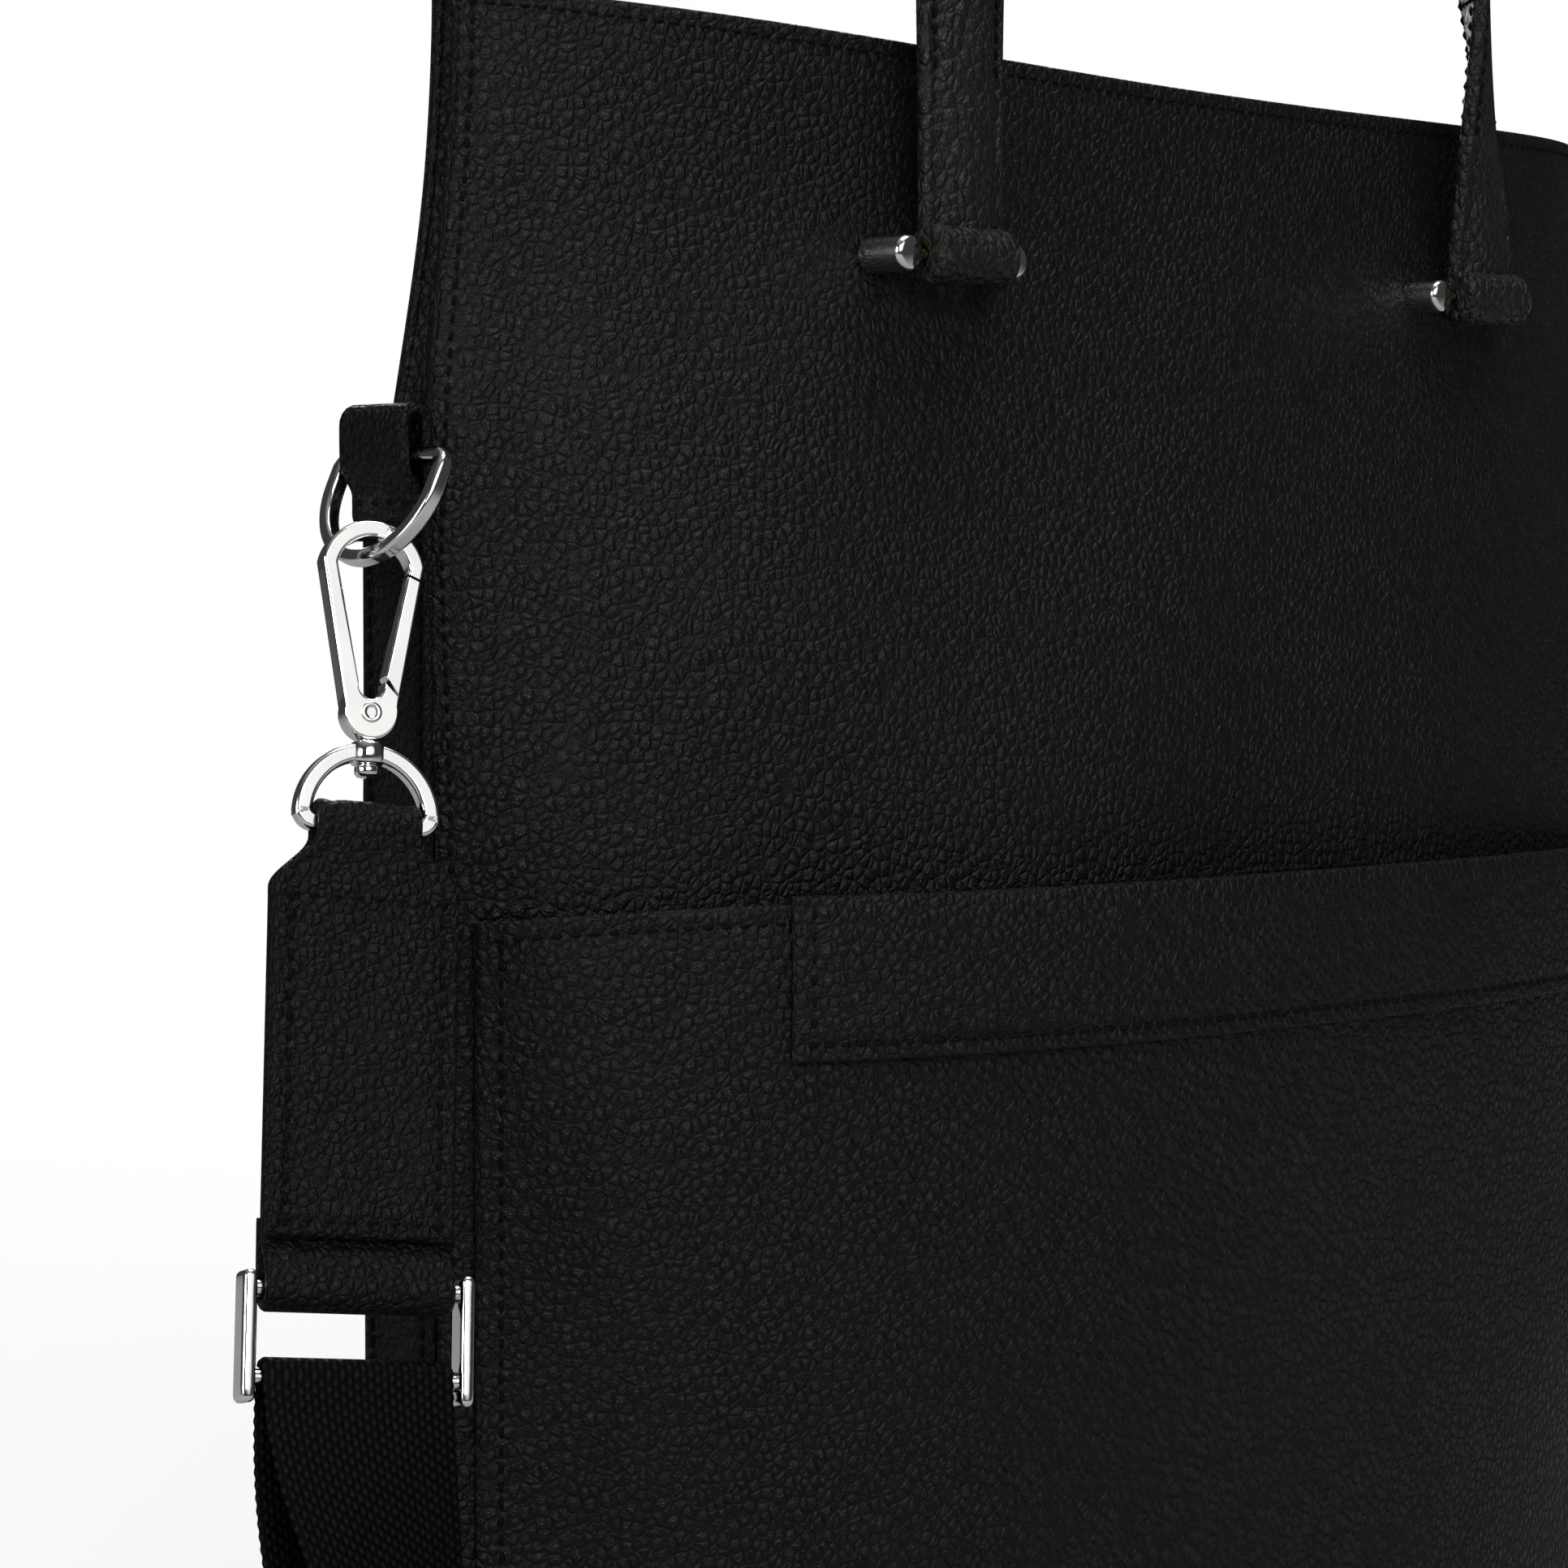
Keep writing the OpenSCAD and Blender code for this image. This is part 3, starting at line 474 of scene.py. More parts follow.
def write(name, part, material, body, nodes=(), uv=None, sharp=50):
    """Puts a surface into the scene as a piece that rides on a body. Edges that bend by more
    than sharp degrees stay crisp."""
    points, quads = part
    mesh = bpy.data.meshes.new(name)
    mesh.vertices.add(len(points))
    mesh.vertices.foreach_set("co", np.asarray(points, dtype=np.float32).ravel())
    mesh.loops.add(quads.size)
    mesh.loops.foreach_set("vertex_index", np.asarray(quads, dtype=np.int32).ravel())
    mesh.polygons.add(len(quads))
    mesh.polygons.foreach_set("loop_start", np.arange(0, quads.size, 4, dtype=np.int32))
    mesh.update(calc_edges=True)
    mesh.shade_smooth()
    mesh.set_sharp_from_angle(angle=math.radians(sharp))
    if uv is not None:
        layer = mesh.uv_layers.new(name="weave")
        layer.data.foreach_set("uv", np.asarray(uv, dtype=np.float32)[quads.ravel()].ravel())
    mesh.materials.append(bpy.data.materials[material])
    piece = bpy.data.objects.new(name, mesh)
    bpy.context.scene.collection.objects.link(piece)
    if body is not None:
        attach(piece, body)
    if nodes:
        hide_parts(*nodes)
    return piece


def leather(stem, part, node=None, body="root", material="pebbled_leather"):
    """Leather piece in place of a CAD node."""
    write(f"{stem}_leather", part, material, body, [node or stem])


def seams(stem, rows, body="root"):
    """Piece made of rows of stitches."""
    write(f"{stem}_sewing", join(rows), "thread", body)


def chrome(stem, part, body, node, sharp=50):
    """Polished metal piece in place of a CAD node."""
    write(f"{stem}_metal", part, "polished_chrome", body, [node], sharp=sharp)


def dress(material, *nodes):
    """Gives CAD nodes that stay in view their material."""
    for node in nodes:
        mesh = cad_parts[node].data
        mesh.materials.clear()
        mesh.materials.append(bpy.data.materials[material])


class Nodes:
    """Small helper that adds nodes to an empty node tree and links them."""

    def __init__(self, tree):
        self.tree = tree
        tree.nodes.clear()

    def add(self, kind, values=None, **settings):
        """New node with its settings, and sockets set to a value or linked to an output."""
        node = self.tree.nodes.new("ShaderNode" + kind)
        for key, value in settings.items():
            setattr(node, key, value)
        for key, value in (values or {}).items():
            self.give(node.inputs[key], value)
        return node

    def give(self, socket, value):
        """Sets a socket to a value or links it to an output."""
        if isinstance(value, bpy.types.NodeSocket):
            self.tree.links.new(value, socket)
        else:
            socket.default_value = value

    def math(self, operation, a, b=0.0):
        return self.add("Math", {0: a, 1: b}, operation=operation).outputs[0]

    def plus(self, a, b):
        return self.math("ADD", a, b)

    def times(self, a, b):
        return self.math("MULTIPLY", a, b)

    def span(self, value, low, high, to_low=0.0, to_high=1.0, **settings):
        """Value moved from one range to another, clamped."""
        values = {"Value": value, "From Min": low, "From Max": high,
                  "To Min": to_low, "To Max": to_high}
        return self.add("MapRange", values, **settings).outputs["Result"]

    def choose(self, switch, off, on):
        """One of two values."""
        return self.add("Mix", {"Factor": switch, 2: off, 3: on}).outputs[0]

    def blend(self, share, a, b):
        """Colour between two colours."""
        return self.add("Mix", {"Factor": share, 6: a, 7: b}, data_type="RGBA").outputs[2]


class Shader(Nodes):
    """Nodes of one material, with its surface shader."""

    SOCKETS = {"base": "Base Color", "metallic": "Metallic", "rough": "Roughness",
               "normal": "Normal", "specular": "Specular IOR Level", "sheen": "Sheen Weight"}

    def __init__(self, name):
        self.material = bpy.data.materials.new(name)
        self.material.use_nodes = True
        super().__init__(self.material.node_tree)
        self.surface = self.add("BsdfPrincipled")
        self.out = self.add("OutputMaterial", {"Surface": self.surface.outputs["BSDF"]})

    def set(self, **values):
        """Sets or links the surface shader's sockets."""
        for key, value in values.items():
            self.give(self.surface.inputs[self.SOCKETS[key]], value)

    def bump(self, height, distance):
        return self.add("Bump", {"Height": height, "Distance": distance,
                                 "Strength": 1.0}).outputs["Normal"]

    def place(self, stretch=(1.0, 1.0, 1.0)):
        """Coordinates of the object, stretched."""
        at = self.add("TexCoord").outputs["Object"]
        return self.add("Mapping", {"Vector": at, "Scale": stretch}).outputs["Vector"]

    def noise(self, at, scale, detail=2.0, rough=0.5):
        return self.add("TexNoise", {"Vector": at, "Scale": scale, "Detail": detail,
                                     "Roughness": rough}).outputs["Fac"]


def rgba(value, gain=1.0):
    """Colour with its alpha, made darker or lighter by a factor."""
    return (*(gain * c for c in value), 1.0)


def leather_material(name, size=1.0, depth=1.0, tone=1.0):
    """Pebbled leather: rounded pads of uneven size, taller than wide, with thin creases between
    them, fine wrinkles over them and patches where the grain is pulled flat. The creases are
    painted darker, as painted shade. size, depth and tone scale the pads, their relief and their
    lightness."""
    look = bpy.context.scene.bag_finish
    s = Shader(name)
    at = s.place((1.0, 1.0, 0.88))
    wander = s.add("TexNoise", {"Vector": at, "Scale": 240.0, "Detail": 2.0}).outputs["Color"]
    moved = s.add("VectorMath", {0: wander, 1: (-0.5, -0.5, -0.5)}, operation="ADD").outputs[0]
    moved = s.add("VectorMath", {0: moved, "Scale": 1.2 * MM * size}, operation="SCALE").outputs[0]
    at_moved = s.add("VectorMath", {0: at, 1: moved}, operation="ADD").outputs[0]
    scale = 1.0 / (look.pebble * size)
    grain = {"Vector": at_moved, "Scale": scale, "Randomness": 1.0}
    wrinkles = {**grain, "Scale": scale * 2.6}
    cells = s.add("TexVoronoi", {**grain, "Smoothness": 0.3}, feature="SMOOTH_F1")
    rim, fine = (s.add("TexVoronoi", values, feature="DISTANCE_TO_EDGE").outputs["Distance"]
                 for values in (grain, wrinkles))
    patch = s.span(s.noise(at, 36.0, 3.0), 0.38, 0.62, 0.7, 1.0)
    each = s.add("SeparateColor", {"Color": cells.outputs["Color"]}).outputs[0]
    dome = s.span(cells.outputs["Distance"], 0.08, 0.60, 1.0, 0.0)
    crease = s.span(rim, 0.0, 0.22)
    pads = s.times(s.plus(s.times(dome, 0.45), s.times(crease, 0.55)), patch)
    wrinkle = s.times(s.span(fine, 0.0, 0.25), 0.14)
    pores = s.times(s.noise(at, 3600.0, 2.0), 0.08)
    height = s.plus(s.plus(pads, wrinkle), pores)
    # tops is 0 in the creases and 1 on the pads: it lays the painted crease shade into the colour,
    # and sets the roughness
    tops = s.times(s.plus(dome, crease), 0.5)
    crease_shade, full, light = (rgba(c, tone) for c in (look.crease, look.leather, look.leather_light))
    s.set(base=s.blend(tops, crease_shade, s.blend(each, full, light)),
          rough=s.span(tops, 0.0, 1.0, 0.56, look.gloss),
          specular=0.85 * look.shine * tone, normal=s.bump(height, look.relief * depth))


def metal_material(name, base, rough, scratch=0.01 * MM):
    """Metal with a faint cloudiness and fine scratches along its length."""
    s = Shader(name)
    cloud = s.noise(s.place(), 120.0, 3.0)
    lines = s.noise(s.place((2600.0, 2600.0, 160.0)), 1.0, 3.0)
    wear = s.plus(cloud, s.times(lines, 0.4))
    s.set(base=s.blend(s.span(cloud, 0.3, 0.7), rgba(base, 0.93), rgba(base)), metallic=1.0,
          rough=s.span(wear, 0.4, 1.0, rough * 0.7, rough * 1.6), normal=s.bump(lines, scratch))


def webbing_material(name):
    """Plain-weave webbing on its own coordinates in metres: each warp rib is a row of domes, and
    neighbouring ribs are half a dome apart. Its colour is painted darker between the domes as
    painted shade, and lighter on their tops as painted highlight."""
    look = bpy.context.scene.bag_finish
    s = Shader(name)
    parts = s.add("SeparateXYZ", {0: s.add("UVMap", uv_map="weave").outputs["UV"]})
    across = s.math("DIVIDE", parts.outputs[0], RIB)
    along = s.math("DIVIDE", parts.outputs[1], WEFT)
    odd = s.times(s.math("PINGPONG", s.math("FLOOR", across), 1.0), 0.5)
    dome_u = s.math("SINE", s.times(s.math("FRACT", across), math.pi))
    dome_v = s.math("COSINE", s.times(s.plus(along, odd), 2 * math.pi))
    dome_v = s.plus(s.times(dome_v, 0.5), 0.5)
    height = s.times(s.math("POWER", dome_u, 0.6), s.plus(s.times(dome_v, 0.75), 0.25))
    fibres = s.noise(s.place((3800.0, 3800.0, 900.0)), 1.0, 2.0)
    # painted shade between the domes and painted highlight on their tops: the colour runs from a
    # quarter to 3.4 times the webbing colour with the domes' height
    s.set(base=s.blend(s.span(height, 0.4, 1.0), rgba(look.webbing, 0.25), rgba(look.webbing, 3.4)),
          rough=0.65, specular=0.045,
          normal=s.bump(s.plus(height, s.times(fibres, 0.16)), 0.36 * MM))


def cloth_material(name):
    """Lining cloth with a fine twill on the object's coordinates."""
    look = bpy.context.scene.bag_finish
    s = Shader(name)
    parts = s.add("SeparateXYZ", {0: s.place()}).outputs
    run = s.times(s.plus(parts[0], parts[2]), 2 * math.pi / (1.1 * MM))
    up = s.times(parts[2], 2 * math.pi / (0.7 * MM))
    twill = s.plus(s.times(s.math("SINE", run), 0.5), s.times(s.math("SINE", up), 0.25))
    slub = s.noise(s.place((300.0, 300.0, 40.0)), 1.0, 2.0)
    tone = s.span(s.plus(twill, slub), -0.3, 1.3)
    s.set(base=s.blend(tone, rgba(look.cloth, 0.6), rgba(look.cloth, 1.5)),
          rough=0.85, specular=0.2, sheen=0.08, normal=s.bump(twill, 0.12 * MM))


def smooth_material(name, base, rough, scale, relief, specular):
    """Plain material with a fine uneven surface: thread and board."""
    s = Shader(name)
    n = s.noise(s.place(), scale, 3.0, 0.6)
    s.set(base=s.blend(s.span(n, 0.3, 0.7), rgba(base, 0.7), rgba(base, 1.25)),
          rough=s.span(n, 0.3, 0.7, rough * 0.85, rough * 1.1), specular=specular,
          normal=s.bump(n, relief))


class BAG_OT_materials(Operator):
    """Makes the leather, metal, webbing, cloth and thread materials."""

    bl_idname = "bag.materials"
    bl_label = "Make materials"

    def execute(self, context):
        look = context.scene.bag_finish
        leather_material("pebbled_leather")
        leather_material("strap_leather", 0.85, 0.9, 0.75)
        # the handles' leather is a lighter copy of the same leather (tone 1.6): its paler colour is
        # painted highlight along the handles, and it also reflects more
        leather_material("handle_leather", 1.2, 1.3, 1.6)
        metal_material("polished_chrome", look.chrome, 0.07)
        metal_material("brushed_steel", look.steel, 0.3, 0.03 * MM)
        metal_material("warm_brass", look.brass, 0.2, 0.02 * MM)
        webbing_material("woven_webbing")
        cloth_material("twill_lining")
        smooth_material("thread", look.thread, 0.7, 5200.0, 0.12 * MM, 0.08)
        smooth_material("grey_board", look.board, 0.8, 900.0, 0.2 * MM, 0.3)
        return {"FINISHED"}


def wall(x_span, low, high, near, thick, across, rows, side, r=None, lift=level, dip=level):
    """Leather wall between two heights, front or back: a grid over the distance across and
    the height, at skin() plus lift less near, and its inner face thick further in, with the
    four edges rounded to half the thickness or to r. dip(x, z) lowers each point."""
    r = r or thick / 2
    z = (low + soft_steps(high - low, rows, r))[:, None]
    share = soft_steps(1.0, across, r / bag().width)
    w = x_span(z)
    x = (2.0 * share - 1.0) * w
    edge = np.minimum(np.minimum(share, 1.0 - share) * 2 * w, np.minimum(z - low, high - z))
    short = thick / 2 * (1.0 - soft_edge(edge, r))
    at = z - dip(x, z)
    out = skin(x, at, near) + lift(x, at)
    part = shell(columns(x, short - out, at), columns(x, thick - short - out, at))
    return flipped(part, 1) if side > 0 else part


def on_wall(x, z, lift, side=-1):
    """Points on the outer face of a wall and the directions out of it."""
    x, z = np.broadcast_arrays(x, z)

    def height(a, b):
        return skin(a, b) + lift(a, b)

    step = 0.8 * MM
    dx = (height(x + step, z) - height(x - step, z)) / (2 * step)
    dz = (height(x, z + step) - height(x, z - step)) / (2 * step)
    return columns(x, side * height(x, z), z), unit(columns(-dx, 1.0, -dz)) * (1.0, side, 1.0)


def post_places():
    """Distances of the four handle posts of one face from the middle."""
    h = bpy.context.scene.bag_handle
    return [foot * h.foot_x + end * h.post_x for foot in ENDS for end in ENDS]


def panel_relief(x, z):
    """Soft shape of a panel: sunk sewing lines, a hollow beside the seams, dimples at the posts
    and slow waves that fade out towards the edges."""
    b = bag()
    seam = half_width(z) - np.abs(x)
    below = b.height - top_dip(x, b.height) - z
    relief = groove(seam - SEAM, 0.28 * MM, 1.1 * MM) + groove(below - HEM, 0.3 * MM, 1.2 * MM)
    relief = relief + groove(seam - 12.5 * MM, 1.1 * MM, 6.0 * MM) * ease(below / 0.05)
    for post in post_places():
        away = np.hypot(x - post, z - bpy.context.scene.bag_handle.axle_z)
        relief = relief + groove(away, 0.7 * MM, 6.5 * MM)
    slow = 1.1 * MM * np.sin(x * 31.0 + 0.7) * np.sin(z * 23.0 + 1.9)
    slow = slow + 0.6 * MM * np.sin(x * 67.0 - z * 41.0)
    return relief + slow * ease(seam / 0.03) * ease(below / 0.03)


class BAG_OT_panels(Operator):
    """Builds the front and back panels, the gussets and the base, with their sewing."""

    bl_idname = "bag.panels"
    bl_label = "Build panels"

    def execute(self, context):
        b = bag()
        for name, side in FACES:
            leather(f"{name}_panel", wall(half_width, 0.0, b.height, 0.0, b.leather, 220, 190, side,
                                          lift=panel_relief, dip=top_dip))
            z = np.linspace(FOOT_SEWING, b.height - HEM, 240)
            rows = []
            for end in ENDS:
                x = end * (half_width(z) - SEAM)
                rows.append(sewing(*on_wall(x, z - top_dip(x, z), panel_relief, side)))
            x = np.linspace(-1, 1, 300) * (half_width(b.height) - SEAM)
            hem = b.height - HEM - top_dip(x, b.height)
            rows.append(sewing(*on_wall(x, hem, panel_relief, side)))
            seams(f"{name}_panel", rows)
        for name, side in SIDES:
            self.gusset(name, side)
        self.base()
        return {"FINISHED"}

    def gusset(self, name, side):
        """Gusset: a strip up the side whose middle folds inwards towards the mouth."""
        b = bag()
        r = b.leather / 2
        z = soft_steps(b.height, 120, r)[:, None]
        share = np.linspace(-1, 1, 15)
        y = share * (half_depth(z) - 0.1 * MM)
        fold = 1.6 * MM * ease((z - 0.16) / 0.12) * (1.0 - share ** 2)
        short = r * (1.0 - soft_edge(np.minimum(z, b.height - z), r))
        out = half_width(z) - fold
        at = z - top_dip(side * half_width(z), z)
        front = columns(side * (out - short), y, at)
        back = columns(side * (out - b.leather + short), y, at)
        leather(f"{name}_gusset", shell(front, back))

    def base(self):
        """Base: the body's outline at the floor, filled from front to back with rounded edges."""
        off, half_t = bag().leather + GAP, 1.5 * MM
        w = half_width(0.0) - off
        x = soft_steps(2 * w, 160, half_t) - w
        half_w = skin(x, np.zeros_like(x), off) - 0.2 * MM
        thin = soft_edge(np.minimum(x + w, w - x), half_t)
        part = carry(columns(x, 0.0, half_t), Y_AXIS, Z_AXIS, half_w,
                     np.maximum(half_t * thin, 0.1 * MM), 40)
        leather("base", part, "base_panel")


class BAG_OT_inside(Operator):
    """Builds the lining, the facings and the inner slip pocket, and dresses the hidden fittings."""

    bl_idname = "bag.inside"
    bl_label = "Build the inside"

    def execute(self, context):
        b = bag()
        near, thick = b.leather + GAP, 1.2 * MM
        for name, side in FACES:
            leather(f"{name}_facing",
                    wall(lambda z: half_width(z) - near, b.facing_from, b.height - 0.4 * MM, near,
                         thick, 90, 30, side, dip=top_dip))
            x = np.linspace(-1, 1, 240) * (half_width(b.facing_from) - 12 * MM)
            z = b.facing_from + 3 * MM
            path = columns(x, side * skin(x, z, near + thick), z)
            seams(f"{name}_facing", [sewing(path, (0.0, -side, 0.0))])
        self.lining()
        self.pocket(thick)
        dress("polished_chrome", "magnet_front", "magnet_back")
        dress("brushed_steel", "front_backplates", "back_backplates", "front_post_nuts",
              "back_post_nuts")
        dress("grey_board", "base_board")
        return {"FINISHED"}

    def lining(self):
        """Lining: the body's outline drawn in behind the leather, as a cup of thin cloth."""
        b = bag()
        low, top = 5.7 * MM, b.facing_from - 0.3 * MM
        near = b.leather + 0.2 * MM

        def rings(start, stop, off):
            z = np.linspace(start, stop, 50)[:, None]
            x = np.linspace(-1, 1, 70) * (half_width(z) - off)
            y = skin(x, z, off)
            return np.concatenate([columns(x, -y, z), columns(x, y, z)[:, ::-1]], axis=1)

        cup = np.concatenate([rings(low, top, near), rings(top, low + CLOTH, near + CLOTH)])
        write("lining_cloth_cup", loft(cup), "twill_lining", "root", ["lining"])

    def pocket(self, thick):
        """Inner slip pocket: a sheet on the back wall whose top edge stands off it."""
        half, low, top, gap = 0.095, 0.070, 0.215, 9 * MM
        near = bag().leather + CLOTH + 0.3 * MM

        def lift(x, z):
            return -gap * ease((z - low) / 0.06) * (1.0 - (np.abs(x) / half) ** 4)

        part = wall(lambda z: half, low, top, near, thick, 80, 60, 1, lift=lift)
        write("inner_pocket_cloth", part, "twill_lining", "root", ["inner_pocket"])
        x = np.linspace(-1, 1, 160) * (half - 3 * MM)
        z = top - 4 * MM
        path = columns(x, skin(x, z, near) + lift(x, z) - thick, z)
        seams("inner_pocket", [sewing(path, (0.0, -1.0, 0.0))])


def pocket_lift(x, z):
    """How far the pocket leather's back stands off the panel."""
    p = bpy.context.scene.bag_pocket
    q = np.minimum(1.0, np.abs(x) / (half_width(z) - p.inset))
    return p.gap * ease(z / p.height) * (1.0 - q ** 4) + GAP


def pocket_dip(x, z):
    """How far the pocket's edge sinks towards its ends, fading out downwards."""
    p = bpy.context.scene.bag_pocket
    return p.dip * (np.abs(x) / (half_width(z) - p.inset)) ** 6 * (z / p.height) ** 4


def pocket_face(x, z):
    """Outer face of the pocket over the panel: its lift, its thickness, its sunk sewing and slow
    waves."""
    p = bpy.context.scene.bag_pocket
    side = half_width(z) - p.inset - np.abs(x)
    below = p.height - pocket_dip(x, p.height) - z
    sunk = (groove(side - POCKET_SEAM, 0.4 * MM, 1.1 * MM)
            + groove(below - POCKET_HEM, 0.4 * MM, 1.1 * MM))
    slow = 0.8 * MM * np.sin(x * 44.0 - 0.4) * np.sin(z * 37.0) * ease(side / 0.02)
    return pocket_lift(x, z) + p.leather + sunk + slow


class BAG_OT_pocket(Operator):
    """Builds the front slip pocket and the band sewn over its edge."""

    bl_idname = "bag.pocket"
    bl_label = "Build the pocket"

    def execute(self, context):
        p = context.scene.bag_pocket
        leather("front_pocket",
                wall(lambda z: half_width(z) - p.inset, 0.5 * MM, p.height, 0.0, p.leather, 210,
                     120, -1, lift=pocket_face, dip=pocket_dip))
        rows = []
        z = np.linspace(FOOT_SEWING, p.height - 7 * MM, 150)
        reach = half_width(p.height) - p.inset - POCKET_SEAM
        for end in ENDS:
            x = end * (half_width(z) - p.inset - POCKET_SEAM)
            rows.append(sewing(*on_wall(x, z, pocket_face)))
            x = end * np.linspace(reach, p.band_half + 1 * MM, 60)
            hem = p.height - POCKET_HEM - pocket_dip(x, p.height)
            rows.append(sewing(*on_wall(x, hem, pocket_face)))
        seams("front_pocket", rows)
        self.band(p)
        return {"FINISHED"}

    def band(self, p):
        """Band: a padded wall over the pocket's face, and a rolled one over the pocket's edge
        behind it."""
        top = p.height + p.band_rise
        low = top - p.band_height
        t = p.band_leather
        near = p.leather + GAP
        inner = near + t * 0.6

        def cover(x, z):
            return pocket_lift(x, np.minimum(z, p.height)) + inner

        def lift(x, z):
            side = p.band_half - np.abs(x)
            sunk = (groove(side - POCKET_SEAM, 0.35 * MM, 1 * MM)
                    + groove(z - low - POCKET_SEAM, 0.35 * MM, 1 * MM))
            rise = np.clip((z - low) / (6 * MM), 0, 1) * np.clip((top - z) / (3 * MM), 0, 1)
            full = 0.5 * MM * rise * ease(side / (6 * MM))
            return cover(x, z) - inner + near + t + sunk + full

        part = wall(lambda z: p.band_half, low, top, 0.0, t, 170, 40, -1, lift=lift)
        roll = wall(lambda z: p.band_half - 0.4 * MM, p.height + 0.3 * MM, top, 0.0, inner, 120, 8,
                    -1, r=1.1 * MM, lift=cover)
        leather("pocket_band", join([part, roll]))
        reach = p.band_half - POCKET_SEAM
        rows = [sewing(*on_wall(np.linspace(-reach, reach, 200), low + POCKET_SEAM, lift))]
        z = np.linspace(low + POCKET_SEAM, top - POCKET_SEAM, 30)
        rows += [sewing(*on_wall(end * reach, z, lift)) for end in ENDS]
        seams("pocket_band", rows)


class BAG_OT_strips(Operator):
    """Builds the leather strips on the gussets, whose tops fold round the rings' bars."""

    bl_idname = "bag.strips"
    bl_label = "Build the side strips"

    def execute(self, context):
        s = strap()
        half_t, step = 1.03 * MM, 0.9 * MM
        start = bag().width / 2 + GAP + half_t
        end = np.array([start + 2 * half_t + 0.2 * MM, s.bar_z - 6.5 * MM])
        path = spaced(self.line(start, end), step)
        run = np.arange(len(path)) * step
        thin = soft_edge(np.minimum(run, run[-1] - run) + 0.1 * MM, half_t)
        d = tangents(path)
        inset = s.strip / 2 - 2 * MM

        def relief(x):
            return groove(inset - np.abs(x), 0.3 * MM, 0.8 * MM)

        low = np.linspace(FOOT_SEWING, s.bar_z - 12.5 * MM, 200)
        across = np.linspace(-1, 1, 20) * (s.strip / 2 - 2.5 * MM)
        for name, side in SIDES:
            centre = columns(side * path[:, 0], s.strip_shift, path[:, 1])
            deep = columns(side * d[:, 1], 0.0, -d[:, 0])
            part = carry(centre, Y_AXIS, deep, s.strip / 2, half_t * np.maximum(thin, 0.05), 26, 5,
                         relief=relief)
            leather(f"{name}_side_strip", part, material="strap_leather")
            out = side * (start + half_t)
            lines = [columns(out, s.strip_shift + edge * inset, low) for edge in ENDS]
            lines.append(columns(side * (end[0] + half_t), s.strip_shift + across,
                                 end[1] - 1.2 * MM))
            seams(f"{name}_side_strip", [sewing(line, (side, 0.0, 0.0)) for line in lines])
        return {"FINISHED"}

    def line(self, start, end):
        """Middle line of a strip seen from the front: up the gusset, round the bar in a half
        circle, in again under it by a smooth step, and a short tail."""
        s = strap()
        r = s.bar_x - start
        top = s.bar_z + s.loop_rise
        rise = columns(start, np.linspace(3 * MM, top, 150))
        t = np.radians(np.linspace(176, 0, 30))
        bend = columns(s.bar_x + r * np.cos(t), top + r * np.sin(t))
        turn = np.array([[s.bar_x + r, s.bar_z + 1 * MM], [s.bar_x + r * 0.97, s.bar_z - 1 * MM]])
        down = np.linspace(0.0, 1.0, 14)[1:]
        fall = turn[-1] + (end - turn[-1]) * columns(ease(down), down)
        tail = end - columns(0.0, np.array([1.5, 3.0, 4.2]) * MM)
        return np.concatenate([rise, bend, turn, fall, tail])


